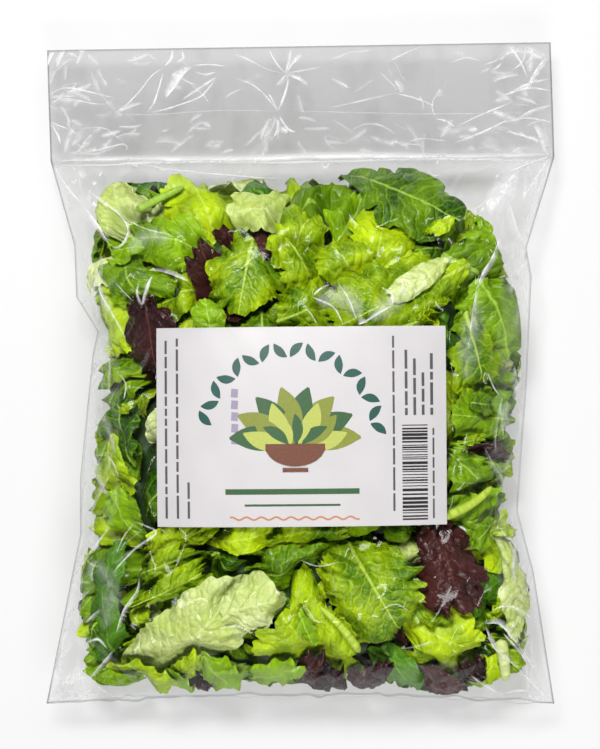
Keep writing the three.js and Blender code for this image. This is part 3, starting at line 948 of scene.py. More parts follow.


# The film


# The film's creases as the photograph shows them, in its pixels, 600 by 749: how wide the painted highlight
# along each is, in millimetres, how white it is, and the places it runs through. The whiteness also sets the
# fold's height.
FLAP_CREASES = [
    (0.7, 0.8, (46, 97), (57, 90), (70, 88), (95, 93), (118, 99)),
    (0.5, 0.6, (46, 97), (70, 99), (100, 104), (117, 99)),
    (1.6, 0.5, (52, 97), (78, 97)),
    (0.6, 0.9, (115, 113), (128, 103), (141, 89), (151, 76), (164, 66)),
    (1.6, 0.7, (115, 113), (129, 108), (142, 103)),
    (0.8, 0.9, (146, 113), (153, 104), (158, 90), (163, 72)),
    (0.7, 0.9, (148, 113), (172, 107), (199, 97), (209, 87), (217, 76)),
    (1.2, 0.6, (217, 76), (199, 88), (181, 100)),
    (3.6, 0.9, (166, 98), (176, 86), (184, 74), (192, 66)),
    (1.2, 0.7, (164, 66), (171, 58), (172, 48)),
    (1.4, 0.6, (176, 63), (184, 58), (182, 49)),
    (0.6, 0.7, (192, 65), (210, 64), (227, 66)),
    (0.9, 0.6, (194, 71), (205, 74), (217, 71)),
    (0.5, 0.35, (115, 114), (160, 114), (220, 110), (278, 111)),
    (0.5, 0.3, (278, 111), (340, 112), (430, 114), (545, 112)),
    (0.6, 0.8, (278, 111), (266, 96), (252, 84), (236, 78)),
    (0.7, 0.9, (278, 111), (272, 99), (268, 92)),
    (1.1, 0.9, (278, 111), (284, 96), (288, 80), (285, 74)),
    (1.5, 0.9, (277, 118), (277, 128), (273, 138)),
    (1.2, 0.8, (279, 116), (288, 129), (296, 132)),
    (0.5, 0.5, (275, 115), (265, 127), (255, 137)),
    (0.9, 0.8, (285, 73), (276, 62), (269, 49)),
    (1.2, 0.9, (285, 73), (289, 60), (291, 48)),
    (1.8, 0.8, (286, 73), (294, 63), (303, 54)),
    (2.2, 0.8, (285, 74), (280, 80), (275, 85)),
    (1.6, 0.9, (286, 74), (297, 79), (308, 85)),
    (0.5, 0.5, (285, 73), (268, 69), (252, 61), (231, 52)),
    (0.6, 0.5, (285, 73), (302, 70), (322, 66)),
    (0.6, 0.8, (76, 154), (98, 150), (123, 144), (127, 149), (125, 152)),
    (0.5, 0.6, (76, 154), (100, 153), (118, 146)),
    (1.0, 0.8, (50, 124), (57, 133), (61, 145)),
    (0.6, 0.7, (50, 121), (60, 126), (70, 129)),
    (1.6, 0.6, (60, 106), (66, 117), (70, 128)),
    (2.4, 0.8, (46, 70), (49, 61), (54, 51)),
    (2.0, 0.8, (57, 67), (61, 58), (65, 50)),
    (2.6, 0.4, (50, 85), (54, 76), (58, 68)),
    (0.5, 0.5, (77, 129), (103, 128), (116, 136), (128, 145)),
    (1.3, 0.5, (125, 62), (138, 59), (147, 55), (154, 58)),
    (0.7, 0.5, (150, 52), (153, 58), (157, 57)),
    (0.8, 0.4, (235, 55), (244, 57), (252, 62)),
    (0.6, 0.6, (328, 108), (360, 101), (395, 93)),
    (0.6, 0.7, (395, 93), (415, 98), (435, 106)),
    (1.0, 0.9, (436, 119), (446, 121), (455, 127)),
    (0.7, 0.9, (455, 127), (483, 114), (514, 101)),
    (0.8, 0.8, (455, 143), (485, 131), (514, 116)),
    (0.6, 0.6, (436, 119), (432, 106), (436, 94)),
    (1.8, 0.9, (551, 54), (538, 66), (524, 92)),
    (1.3, 0.8, (550, 78), (530, 82), (508, 93)),
    (1.0, 0.8, (551, 90), (528, 88), (502, 96)),
    (0.9, 0.7, (508, 43), (520, 60), (528, 78)),
    (0.7, 0.7, (528, 46), (522, 62), (512, 70)),
    (1.5, 0.7, (552, 104), (531, 110), (512, 122)),
    (0.8, 0.8, (552, 122), (526, 118), (498, 124)),
    (0.9, 0.7, (552, 146), (530, 138), (507, 131)),
    (0.6, 0.6, (400, 146), (420, 139), (447, 141)),
    (0.6, 0.5, (330, 60), (350, 52), (372, 50)),
    (0.6, 0.6, (386, 62), (402, 54), (420, 46)),
    (0.8, 0.5, (452, 62), (466, 57), (480, 60)),
    (0.5, 0.5, (352, 130), (366, 124), (384, 126)),
]
PILLOW_CREASES = [
    (1.3, 0.7, (126, 162), (132, 165), (139, 168)),
    (0.6, 0.7, (133, 162), (154, 167), (206, 173), (250, 177), (285, 179)),
    (1.0, 0.5, (154, 162), (158, 168), (168, 171)),
    (2.6, 0.9, (79, 172), (83, 180)),
    (1.4, 0.7, (102, 170), (98, 177)),
    (2.2, 0.8, (92, 186), (98, 183)),
    (1.3, 0.8, (134, 186), (135, 192)),
    (1.2, 0.7, (318, 158), (325, 168), (332, 160)),
    (1.3, 0.7, (437, 166), (440, 157), (448, 158)),
    (0.9, 0.6, (425, 168), (434, 176), (446, 172)),
    (0.5, 0.5, (550, 156), (500, 190), (459, 222)),
    (0.8, 0.8, (550, 156), (528, 164), (506, 173)),
    (8.0, 0.85, (516, 173), (503, 190), (488, 213)),
    (1.2, 0.8, (550, 157), (537, 176), (522, 200)),
    (0.9, 0.8, (551, 158), (541, 190), (529, 244)),
    (1.3, 0.6, (546, 166), (536, 196), (526, 222)),
    (0.8, 0.7, (524, 226), (530, 246), (533, 262)),
    (2.2, 0.95, (499, 238), (492, 256), (482, 273), (476, 289)),
    (1.3, 0.95, (476, 289), (472, 312), (469, 334)),
    (0.9, 0.9, (330, 284), (320, 289), (313, 296)),
    (0.8, 0.8, (312, 297), (333, 307), (343, 324)),
    (2.6, 0.9, (358, 325), (368, 322)),
    (1.3, 0.9, (364, 323), (379, 314), (392, 306)),
    (1.0, 0.8, (392, 306), (392, 295), (381, 287)),
    (0.9, 0.7, (357, 321), (348, 298), (338, 283)),
    (0.8, 0.8, (414, 284), (416, 292), (428, 278)),
    (0.7, 0.7, (401, 278), (403, 286), (402, 294)),
    (0.6, 0.7, (304, 307), (311, 314), (317, 324)),
    (1.3, 0.9, (89, 192), (107, 206), (118, 214), (127, 227), (125, 239), (117, 247), (109, 243)),
    (2.0, 0.9, (109, 243), (100, 227), (91, 214), (80, 198)),
    (0.6, 0.8, (126, 220), (149, 230), (172, 235)),
    (1.8, 0.9, (150, 270), (166, 273), (189, 282)),
    (0.9, 0.8, (153, 275), (147, 286), (142, 304)),
    (1.2, 0.7, (139, 282), (137, 293), (142, 304), (146, 293), (152, 276)),
    (0.5, 0.7, (115, 282), (124, 292), (134, 302)),
    (1.2, 0.9, (100, 268), (100, 290), (108, 306), (117, 322), (126, 339)),
    (1.6, 0.6, (52, 168), (58, 190), (70, 214)),
    (1.0, 0.7, (54, 166), (68, 188), (84, 206)),
    (1.2, 0.6, (57, 200), (66, 224), (78, 246)),
    (1.4, 0.5, (84, 250), (88, 276), (96, 300)),
    (1.1, 0.9, (135, 522), (146, 526), (156, 533), (136, 548), (124, 560), (113, 573)),
    (0.5, 0.8, (135, 522), (123, 538), (116, 556)),
    (1.4, 0.9, (139, 578), (136, 591), (123, 610), (116, 633)),
    (1.6, 0.8, (100, 609), (92, 615), (85, 623)),
    (1.2, 0.9, (108, 649), (98, 639), (84, 644)),
    (1.8, 0.8, (113, 650), (101, 664), (89, 678)),
    (1.2, 0.6, (111, 525), (90, 553), (69, 583)),
    (0.9, 0.6, (71, 583), (80, 582), (92, 583)),
    (2.4, 0.8, (53, 700), (64, 684), (77, 668)),
    (1.6, 0.6, (50, 676), (57, 661), (65, 648)),
    (1.6, 0.6, (62, 640), (74, 610), (92, 588)),
    (1.1, 0.6, (95, 684), (105, 691), (117, 698)),
    (1.0, 0.5, (56, 701), (84, 694), (112, 697)),
    (1.2, 0.9, (491, 611), (502, 606), (513, 607), (526, 614), (539, 626)),
    (2.4, 0.9, (484, 624), (498, 624), (510, 636), (518, 646)),
    (1.4, 0.9, (518, 646), (526, 658), (534, 670)),
    (1.6, 0.8, (485, 626), (493, 647), (507, 660), (520, 670)),
    (1.2, 0.8, (503, 633), (515, 646), (527, 661)),
    (1.2, 0.6, (470, 675), (484, 685), (499, 693)),
    (1.4, 0.7, (520, 672), (534, 686), (548, 700)),
    (1.0, 0.6, (500, 694), (524, 690), (547, 701)),
    (1.0, 0.8, (458, 526), (463, 528), (467, 532)),
    (0.8, 0.8, (500, 528), (507, 538), (517, 541)),
    (1.4, 0.7, (512, 470), (517, 500), (524, 540)),
    (1.0, 0.6, (524, 360), (521, 400), (517, 440)),
    (1.2, 0.6, (518, 548), (527, 580), (534, 604)),
    (0.9, 0.6, (96, 350), (94, 390), (88, 430)),
    (1.2, 0.6, (86, 440), (84, 480), (80, 520)),
    (0.7, 0.7, (118, 372), (126, 384), (124, 400)),
    (0.7, 0.6, (104, 452), (113, 462), (119, 478)),
    (0.7, 0.7, (487, 372), (494, 388), (500, 396)),
    (0.6, 0.5, (300, 560), (318, 566), (340, 562)),
    (0.6, 0.5, (380, 610), (396, 604), (410, 612)),
    (9.0, 0.28, (316, 302), (343, 297), (362, 318)),
    (8.0, 0.26, (370, 320), (390, 302), (410, 286)),
    (7.0, 0.22, (128, 252), (148, 236), (172, 240)),
    (8.0, 0.22, (96, 560), (112, 590), (104, 630)),
    (9.0, 0.2, (478, 300), (470, 340), (466, 380)),
]
CREASE_STEP = 1.2  # distance between the places that a crease's curve is worked out at
# The creases' whiteness is that of their painted highlights, and it also sets how high their folds are
CREASE_BOOST = 1.2  # how much whiter the creases are made than they are listed
# A facet's painted highlight lies along one side of its crease only
FACET_WIDTHS = (1.3, 5.0)  # a crease of such a width shows as a facet, bright along one side only
FINE_ON_FLAP, FINE_ON_SIDES, FINE_ON_FRONT = 150, 84, 20  # how many small random creases there are
LABEL_ROOM = 9  # how far the random creases keep from the label
# Places on the flap that the fine creases run towards
PINCHES = [
    (-124, 131), (-123, 106), (-107, 157), (-4, 145), (-14, 127),
    (60, 112), (124, 128), (122, 108), (120, 158),
]
OFF_FLOOR = 0.02  # the film's lowest places are that far over the floor
# How far each ply of the flap lies from its middle, and how much farther at the open end
FLAP_GAP, MOUTH_GAP = 0.12, 0.7
# Cells of the front film's grid and of the back's
FILM_COLUMNS, PILLOW_ROWS, FLAP_ROWS = 262, 290, 64
BACK_COLUMNS, BACK_ROWS, BACK_FLAP_ROWS = 170, 180, 50


def photo_place(px, py, height):
    """Where a pixel of the photograph lies on the bag, at that height."""
    scale = (CAMERA_Z - height) / (PHOTO_HEIGHT * LENS / SENSOR)
    return CAMERA_X + (px - PHOTO_WIDTH / 2) * scale, CAMERA_Y + (PHOTO_HEIGHT / 2 - py) * scale


def smooth_line(knots):
    """One smooth curve through places on the bag."""
    knots = np.concatenate([[2 * knots[0] - knots[1]], knots, [2 * knots[-1] - knots[-2]]])
    line = []
    for a, b, c, d in zip(knots, knots[1:], knots[2:], knots[3:]):
        steps = max(2, int(np.linalg.norm(c - b) / CREASE_STEP))
        for t in np.linspace(0, 1, steps, endpoint=False):
            line.append(b + 0.5 * t * (c - a + t * (2 * a - 5 * b + 4 * c - d + t * (3 * (b - c) + d - a))))
    return np.array(line + [knots[-2]])


def seen_crease(pixels):
    """The places that a crease of the photograph runs through on the bag."""
    x, y = np.array(pixels, float).T
    height = np.full(len(x), SEAM_ENDS)
    for _ in range(4):
        px, py = photo_place(x, y, height)
        across, along = shares(px, py)
        height = film_front(*in_bag(across, along))
    return smooth_line(np.stack([px, py], axis=1))


def towards(x, y, places):
    """The direction from x, y to the nearest of some places."""
    far = [math.hypot(px - x, py - y) for px, py in places]
    px, py = places[far.index(min(far))]
    return math.atan2(py - y, px - x)


def fine_crease(rng, x, y, heading, length):
    """A small bent crease through x, y."""
    share = np.array([-0.5, rng.uniform(-0.2, 0.2), 0.5])
    sway = np.array([0, rng.normal(0, 0.06), 0]) * length
    return smooth_line(np.stack(turned(share * length, sway, heading), axis=1) + (x, y))


def all_creases():
    """Width, whiteness of its painted highlight, line, whether on the flap and whether a facet, of every
    front crease.
    """
    creases = []
    for listed, flap in ((FLAP_CREASES, True), (PILLOW_CREASES, False)):
        for width, white, *places in listed:
            facet = FACET_WIDTHS[0] <= width < FACET_WIDTHS[1]
            creases.append((width, min(1, CREASE_BOOST * white), seen_crease(places), flap, facet))
    rng = np.random.default_rng(41)
    for number in range(FINE_ON_FLAP):
        x, y = rng.uniform(-122, 121), rng.uniform(108, 158)
        if number % 3 == 0:
            x = rng.choice((-1, 1)) * rng.uniform(96, 120)
        elif number % 3 == 1:
            y = rng.uniform(107, 121)
        heading = towards(x, y, PINCHES) + rng.normal(0, 0.35)
        line = fine_crease(rng, x, y, heading, rng.uniform(4, 15))
        creases.append((rng.uniform(0.5, 3.2), rng.uniform(0.15, 0.7), line, True, number % 2 == 0))
    for number in range(FINE_ON_SIDES):
        x, y = bag_place(rng.uniform(0.86, 0.98) * (1 if number % 2 else -1), rng.uniform(-0.97, 0.97))
        line = fine_crease(rng, x, y, np.pi / 2 + rng.normal(0, 0.35), rng.uniform(8, 30))
        creases.append((rng.uniform(0.6, 4.5), rng.uniform(0.2, 0.65), line, False, number % 3 > 0))
    for _ in range(FINE_ON_FRONT):
        x, y = bag_place(rng.uniform(-0.85, 0.85), rng.uniform(-0.95, 0.95))
        line = fine_crease(rng, x, y, rng.uniform(0, np.pi), rng.uniform(6, 18))
        beside = abs(x - LABEL_X) > LABEL_WIDTH / 2 + LABEL_ROOM
        if beside or abs(y - LABEL_Y) > LABEL_HEIGHT / 2 + LABEL_ROOM:
            creases.append((rng.uniform(0.4, 1.0), rng.uniform(0.15, 0.45), line, False, False))
    return creases


def crease_ridge(x, y, line, height, reach):
    """Height of the fold along a crease: two flanks that meet in a crest and narrow to its ends."""
    low, high = line.min(axis=0) - reach, line.max(axis=0) + reach
    near = (x > low[0]) & (x < high[0]) & (y > low[1]) & (y < high[1])
    place = np.stack([x[near], y[near]], axis=1)
    off = np.full(len(place), 1e9)
    share = np.zeros(len(place))
    for number in range(len(line) - 1):
        start, step = line[number], line[number + 1] - line[number]
        along = np.clip(((place - start) @ step) / (step @ step), 0, 1)
        gap = np.linalg.norm(place - start - along[:, None] * step, axis=1)
        share = np.where(gap < off, (number + along) / (len(line) - 1), share)
        off = np.minimum(off, gap)
    taper = np.sqrt(np.clip(1 - (2 * share - 1) ** 2, 0, 1))
    rise = np.zeros_like(x)
    rise[near] = height * taper * np.maximum(0, 1 - np.sqrt(off * off + 0.2) / (reach * taper + 0.01))
    return rise


def ridge(x, y, fold, crest=0.45):
    """Height of a straight fold, as of a crease."""
    x0, y0, x1, y1, height, width = fold
    dx, dy = x1 - x0, y1 - y0
    length = math.hypot(dx, dy)
    share = ((x - x0) * dx + (y - y0) * dy) / length ** 2
    off = ((y - y0) * dx - (x - x0) * dy) / length
    taper = np.sqrt(np.clip(1 - (2 * share - 1) ** 2, 0, 1))
    reach = width * taper + 1e-6
    return height * taper * np.maximum(0, 1 - np.sqrt(off * off + crest * crest) / reach)


def lumps(x, y):
    """Soft swellings where the film lies on the leaves."""
    total = np.zeros_like(x)
    for number in range(LUMP_WAVES):
        turn = 2.4 * number
        pace = 2 * np.pi / mix(LUMP_LENGTHS[0], LUMP_LENGTHS[1], number / (LUMP_WAVES - 1))
        total += np.sin(pace * (x * math.cos(turn) + y * math.sin(turn)) + 1.7 * number)
    return total * LUMP_HEIGHT / math.sqrt(LUMP_WAVES)


# Random folds: how many, the ranges of their x and y, and of their lengths, heights and widths
FLAP_FOLDS = (60, (-124, 124), (106, 162), (10, 34), (0.1, 0.4), (2.4, 6))
PILLOW_FOLDS = (260, (-124, 124), (-162, 106), (8, 34), (0.2, 1.3), (1.5, 5))
# Soft swellings: how many waves make them up, the range of their lengths, and their height
LUMP_WAVES = 9
LUMP_LENGTHS = (15.0, 40.0)
LUMP_HEIGHT = 0.8


def crumple(x, y, rng, count, x_range, y_range, length, height, width):
    """Many random folds."""
    total = np.zeros_like(x)
    for _ in range(count):
        cx, cy = rng.uniform(*x_range), rng.uniform(*y_range)
        heading = rng.uniform(0, np.pi)
        half = rng.uniform(*length) / 2
        fold = (
            cx - half * math.cos(heading), cy - half * math.sin(heading),
            cx + half * math.cos(heading), cy + half * math.sin(heading),
            rng.uniform(*height) * rng.choice((-1, 1)), rng.uniform(*width),
        )
        total = total + ridge(x, y, fold)
    return total


def film_grid(columns, pillow_rows, flap_rows):
    """Shares of the film's grid, closer together towards the seams."""
    def closer(count):
        return np.sin(np.pi / 2 * np.linspace(-1, 1, count + 1) * 0.9) / math.sin(math.pi / 2 * 0.9)

    across, along = closer(columns), closer(pillow_rows)
    out = np.linspace(0, 1, flap_rows + 1)[1:]
    along = np.concatenate([along, np.ones(flap_rows)])
    out = np.concatenate([np.zeros(pillow_rows + 1), out])
    return *np.meshgrid(across, along), np.meshgrid(across, out)[1]


def film_folds(side, x, y, across, along, out, creases):
    """Height of the folds, which die away under the label and where the leaves press."""
    rng = np.random.default_rng(5 if side > 0 else 6)
    rise = np.zeros_like(x)
    # The back has the flap's creases too, as its two plies lie close together there
    for width, white, line, flap, _ in creases:
        if flap or side > 0:
            reach = 1.8 + 0.6 * width
            rise += crease_ridge(x, y, line, 0.3 * reach * white, reach)
    on_flap = smooth_step(0.0, 0.03, out)
    rise += on_flap * crumple(x, y, rng, *FLAP_FOLDS)
    flank = smooth_step(0.55, 0.9, np.maximum(np.abs(across), np.abs(along) * 0.95))
    small = crumple(x, y, rng, *PILLOW_FOLDS)
    rise += (1 - on_flap) * (small * (0.12 + 0.88 * flank) + lumps(x, y))
    if side > 0:
        right, up = turned(x - LABEL_X, y - LABEL_Y, -LABEL_TILT)
        clear = np.maximum(np.abs(right) - LABEL_WIDTH / 2, np.abs(up) - LABEL_HEIGHT / 2)
        rise *= smooth_step(0, 3, clear)
    return rise


def seal_relief(x, from_seal):
    """Height of the heat seal: two beads with fine wrinkles below."""
    beads = np.exp(-((from_seal - 0.8) / 0.55) ** 2) + 0.1 * np.exp(-((from_seal + 1.6) / 0.55) ** 2)
    wrinkle = np.sin(0.9 * x + 1.3 * np.sin(0.17 * x)) * np.exp(-((from_seal + 4) / 3) ** 2)
    return 0.3 * beads + 0.12 * wrinkle * (0.5 + 0.5 * np.sin(0.07 * x + 1))


def film_ply(name, side, columns, pillow_rows, flap_rows, material, creases):
    across, along, out = film_grid(columns, pillow_rows, flap_rows)
    y = np.where(out > 0, mix(seal_y(across), open_end_y(across), out), bag_place(across, along)[1])
    x = between_edges(across, y)
    pillow = film_front(across, along) if side > 0 else film_back(across, along)
    z = np.where(out > 0, flap_height(across, out), pillow)
    points = np.stack([x, y, z], axis=-1)
    du, dv = np.gradient(points, axis=1), np.gradient(points, axis=0)
    normal = np.cross(du, dv)
    normal /= np.linalg.norm(normal, axis=-1)[..., None] + 1e-12

    # Folds, which die away at the seams, and the heat seal
    seam = smooth_step(0, 0.05, 1 - np.abs(across))
    from_seal = y - seal_y(across)
    rise = film_folds(side, x, y, across, along, out, creases) + side * seal_relief(x, from_seal)
    gap = FLAP_GAP + MOUTH_GAP * smooth_step(0.5, 1.0, out)
    points += normal * (rise * seam)[..., None]
    points[..., 2] += np.where(out > 0, side * gap * seam, 0)
    points[..., 2] = np.maximum(points[..., 2], OFF_FLOOR)

    # Where the film is welded at its edges, milky at the seal, and how far out on the flap it is
    rim = (1 - np.abs(across)) * MEAN_HALF
    ends = np.minimum(y - bottom_y(across), open_end_y(across) - y)
    weld = 1 - smooth_step(0.3, 1.0, np.minimum(rim, ends))
    haze = np.exp(-((from_seal + 0.4) / 2.0) ** 2)
    facts = np.stack([weld, haze, out], axis=-1)
    triangles = grid_triangles(pillow_rows + flap_rows, columns, flip=side < 0)
    piece = add_mesh(name, points.reshape(-1, 3), triangles, [material], {"film": facts.reshape(-1, 3)})
    return dress(piece, "bag")


def make_film():
    material = film_material()
    creases = all_creases()
    front = film_ply("film_front", 1, FILM_COLUMNS, PILLOW_ROWS, FLAP_ROWS, material, creases)
    film_ply("film_back", -1, BACK_COLUMNS, BACK_ROWS, BACK_FLAP_ROWS, material, creases)
    return make_painted_highlights(front, creases)


def painted_highlight_material():
    """A painted highlight along a crease: a diffuse white line that fades towards its sides and ends."""
    n = Nodes("painted_crease_highlight")
    _, (white, side, whole) = n.fact("shine")
    where = n.here()
    off = n.math("ABSOLUTE", side)
    core = n.ramp(off, 0.0, 0.4, 0.55, 0.0)
    cloud = n.math("MAXIMUM", n.ramp(n.noise(where, 150.0, 2.0), 0.35, 0.65, 0.4, 1.0), whole)
    skirt = n.math("MULTIPLY", n.ramp(off, 0.3, 1.0, 0.48, 0.0), cloud)
    broken = n.math("MAXIMUM", n.ramp(n.noise(where, 380.0, 2.0), 0.34, 0.62, 0.2, 1.0), whole)
    cover = n.math("MULTIPLY", n.math("MULTIPLY_ADD", core, broken, skirt), white, clamp=True)
    clear = n.add("ShaderNodeBsdfTransparent").outputs[0]
    # The painted highlight itself: a diffuse white, lit by the soft lights
    bright = n.add("ShaderNodeBsdfDiffuse", {"Color": PAINTED_HIGHLIGHT_WHITE}).outputs[0]
    return n.finish(n.either(cover, clear, bright))


# Colour of the painted highlights on the creases and the seal
PAINTED_HIGHLIGHT_WHITE = (0.68, 0.68, 0.68, 1)
# The white ribbons of painted highlight: their height above the film, and their cells across
PAINTED_HIGHLIGHT_LIFT = 0.25  # the line's height above the film
PAINTED_HIGHLIGHT_SIDES = 4  # cells across a line
# The seal's painted highlights are white lines too
SEAL_PAINTED_HIGHLIGHTS = ((0.5, 3.6, 1.0), (-1.7, 1.8, 0.9))  # bright lines of the seal: how far up, width, whiteness
SEAL_SPAN = (-0.985, 0.99, 180)  # shares across where they begin and end, and their points
EDGE_ROOM = 0.2  # how far a line stays inside the film's edges


def inside_outline(plan):
    """Draws places beyond the film's edges back onto them."""
    x, y = plan[..., 0], plan[..., 1]
    across = np.clip(shares(x, y)[0], -1, 1)
    y = np.clip(y, bottom_y(across) + EDGE_ROOM, open_end_y(across) - EDGE_ROOM)
    x = np.clip(x, edge_x(LEFT_EDGE, y) + EDGE_ROOM, edge_x(RIGHT_EDGE, y) - EDGE_ROOM)
    return np.stack([x, y], axis=-1)


def add_painted_highlight(shine, line, width, white, heights, whole=0.0, facet=False):
    """One painted highlight as a soft white ribbon that lies on the film; a facet is white along its one
    side.
    """
    share = np.linspace(0, 1, len(line))
    swell = np.sqrt(np.clip(1 - (2 * share - 1) ** 2, 0.02, 1))
    across = np.linspace(1, 0 if facet else -1, PAINTED_HIGHLIGHT_SIDES + 1)
    reach = (1.5 if facet else 0.9) * width
    out = across[:, None, None] * reach * swell[None, :, None] * asides(line)[None]
    plan = inside_outline(line[None] + out)
    z = heights(plan[..., 0], plan[..., 1]) + PAINTED_HIGHLIGHT_LIFT
    points = np.concatenate([plan, z[..., None]], axis=-1)[:, ::-1].reshape(-1, 3)
    fade, side = np.meshgrid(np.minimum(1, 1.3 * swell) * white, across)
    facts = np.stack([fade, side, np.full_like(side, whole)], axis=-1)[:, ::-1].reshape(-1, 3)
    shine.add(points, grid_triangles(PAINTED_HIGHLIGHT_SIDES, len(line) - 1), shine=facts)


def make_painted_highlights(film, creases):
    """Painted highlights, white lines along the creases and the heat seal, laid on the front film's mesh."""
    mesh = film.data
    flat = np.empty(3 * len(mesh.vertices), np.float32)
    mesh.vertices.foreach_get("co", flat)
    place = flat.reshape(-1, 3) / MM
    tree = KDTree(len(place))
    for number, (x, y, _) in enumerate(place):
        tree.insert((x, y, 0), number)
    tree.balance()

    def heights(x, y):
        found = [
            max(place[number, 2] for _, number, _ in tree.find_n((px, py, 0), 3))
            for px, py in zip(x.ravel(), y.ravel())
        ]
        return np.array(found).reshape(x.shape)

    # White ribbons of painted highlight along every crease, then along the seal
    shine = Gathered()
    for width, white, line, _, facet in creases:
        add_painted_highlight(shine, line, width, white, heights, facet=facet)
    across = np.linspace(*SEAL_SPAN)
    for shift, width, white in SEAL_PAINTED_HIGHLIGHTS:
        y = seal_y(across) + shift + 0.5 * np.sin(7 * across + shift)
        add_painted_highlight(shine, np.stack([between_edges(across, y), y], axis=1), width, white, heights, 0.9)
    return dress(shine.mesh("film_painted_crease_highlights", [painted_highlight_material()]), "bag")


# The label


def label_point(right, up, lift):
    """A point of the label, from its middle, on the bag's front."""
    east, north = turned(right, up, LABEL_TILT)
    x, y = LABEL_X + east, LABEL_Y + north
    across, along = shares(x, y)
    wave = 0.10 * np.sin(0.11 * x + 0.5) * np.cos(0.09 * y) + 0.05 * np.sin(0.31 * x + 0.2 * y)
    return np.stack([x, y, film_front(across, along) + LABEL_LIFT + lift + wave], axis=-1)


def make_label():
    columns, rows = 110, 76
    right, up = np.meshgrid(
        np.linspace(-0.5, 0.5, columns + 1) * LABEL_WIDTH,
        np.linspace(-0.5, 0.5, rows + 1) * LABEL_HEIGHT,
    )
    points, triangles = closed_sheet(label_point(right, up, 0), label_point(right, up, -LABEL_THICKNESS))
    piece = add_mesh("label_sheet", points, triangles, [paper_material()], sharp=60)
    return [dress(piece, "label")]


# Inks of the label, as they show: red, green, blue of the screen
INKS = {
    "teal": (8, 84, 72), "green": (47, 97, 48), "olive": (143, 154, 46), "lime": (200, 210, 95),
    "brown": (120, 65, 40), "orange": (215, 140, 90), "grey": (86, 86, 88), "black": (24, 24, 26),
    "violet": (168, 156, 182),
}
INK_STEP = 2.0  # the print's mesh has a point about every so many millimetres
LAYER_STEP = 0.02  # what is printed over something else lies that much higher


class Print(Gathered):
    """The label's print, with a material for each ink."""

    layer = 0

    def grid(self, ink, right, up):
        points = label_point(right, up, PRINT_LIFT + LAYER_STEP * self.layer).reshape(-1, 3)
        triangles = grid_triangles(right.shape[0] - 1, right.shape[1] - 1)
        self.add(points, triangles, slot=list(INKS).index(ink))

    def stroke(self, ink, line, width):
        """A stroke along a line of places; width is one number or one for each place."""
        across = np.linspace(0.5, -0.5, 5)[:, None, None]
        places = line[None] + across * (asides(line) * np.broadcast_to(width, len(line))[:, None])[None]
        self.grid(ink, places[::-1, :, 0], places[::-1, :, 1])

    def bar(self, ink, x0, y0, x1, y1, width):
        steps = max(2, int(math.hypot(x1 - x0, y1 - y0) / INK_STEP)) + 1
        self.stroke(ink, np.stack([np.linspace(x0, x1, steps), np.linspace(y0, y1, steps)], axis=1), width)

    def oval(self, ink, x, y, turn, length, width, bend=0.0):
        """A pointed oval from a base at x, y towards a direction in degrees."""
        share = np.linspace(0, 1, 15)
        sway = bend * length * np.sin(np.pi * share)
        line = np.stack(turned(share * length, sway, math.radians(turn)), axis=1) + (x, y)
        self.stroke(ink, line, width * np.sin(np.pi * np.clip(share, 0.015, 0.985)) ** 0.8)


def print_words(sheet, rng, ink, x, y0, y1, width):
    """A line of small print, as plain bars that run up the label."""
    y = y0
    while y < y1 - 2:
        length = min(rng.uniform(3, 11), y1 - y)
        sheet.bar(ink, x, y, x, y + length, width)
        y += length + 1.3


def print_emblem(sheet):
    """A bowl of leaves: a fan of broad leaves, with narrower ones before it."""
    for count, low, high, inks, length, width, bend in (
        (8, 6, 174, ("olive", "green"), 27, 11.5, 0.05),
        (7, 14, 166, ("lime", "olive"), 21, 8.5, -0.06),
        (5, 34, 146, ("green", "lime"), 14, 5.2, 0.08),
    ):
        for number in range(count):
            sheet.layer += 1
            turn = mix(low, high, number / (count - 1))
            x = -3 + 4 * math.cos(math.radians(turn))
            sheet.oval(inks[number % 2], x, -8, turn, length, width, bend * (1 if turn < 90 else -1))
    sheet.layer += 1
    rim = np.linspace(-17, 11, 15)
    depth = 10.5 * np.sqrt(np.clip(1 - ((rim + 3) / 14.6) ** 2, 0, 1))
    rows = np.linspace(0, 1, 7)[:, None]
    sheet.grid("brown", np.broadcast_to(rim, (7, 15)), -8.0 - depth * (1 - rows))
    sheet.bar("brown", -9, -20.2, 3, -20.2, 1.8)
    sheet.layer = 0


def print_garland(sheet):
    """An arch of small leaves over the emblem, leaning in and out by turns."""
    for number in range(17):
        angle = mix(168, 4, number / 16)
        heading = math.radians(angle)
        x, y = -5 + 41 * math.cos(heading), -4 + 40 * math.sin(heading)
        turn = angle + (38 if number % 2 else -38)
        back_x, back_y = turned(4.2, 0, math.radians(turn))
        sheet.oval("teal", x - back_x, y - back_y, turn, 8.8, 4.0, 0.08)


def print_stripes(sheet, rng):
    """Plain stripes of random widths up the label's right side."""
    y = -44.5
    while y < 1.0:
        width = rng.choice((0.45, 0.45, 0.8, 1.3))
        sheet.bar("black", 47.3, y + width / 2, 59.4, y + width / 2, width)
        y += width + rng.choice((0.4, 0.6, 1.0))


# Upright lines of small print: x, lowest and highest y, and width
PRINT_LINES = [
    (-64, -43, 41, 1.1), (-58.6, -43, 42, 1.1), (-53.4, -43, -23, 1.1), (43.4, -40, 43, 1.0),
    (49.4, 5, 38, 1.3), (53.4, 5, 34, 1.3), (57.4, 5, 28, 1.3), (61.5, 5, 34, 1.4), (62.2, -44, 0, 0.9),
]


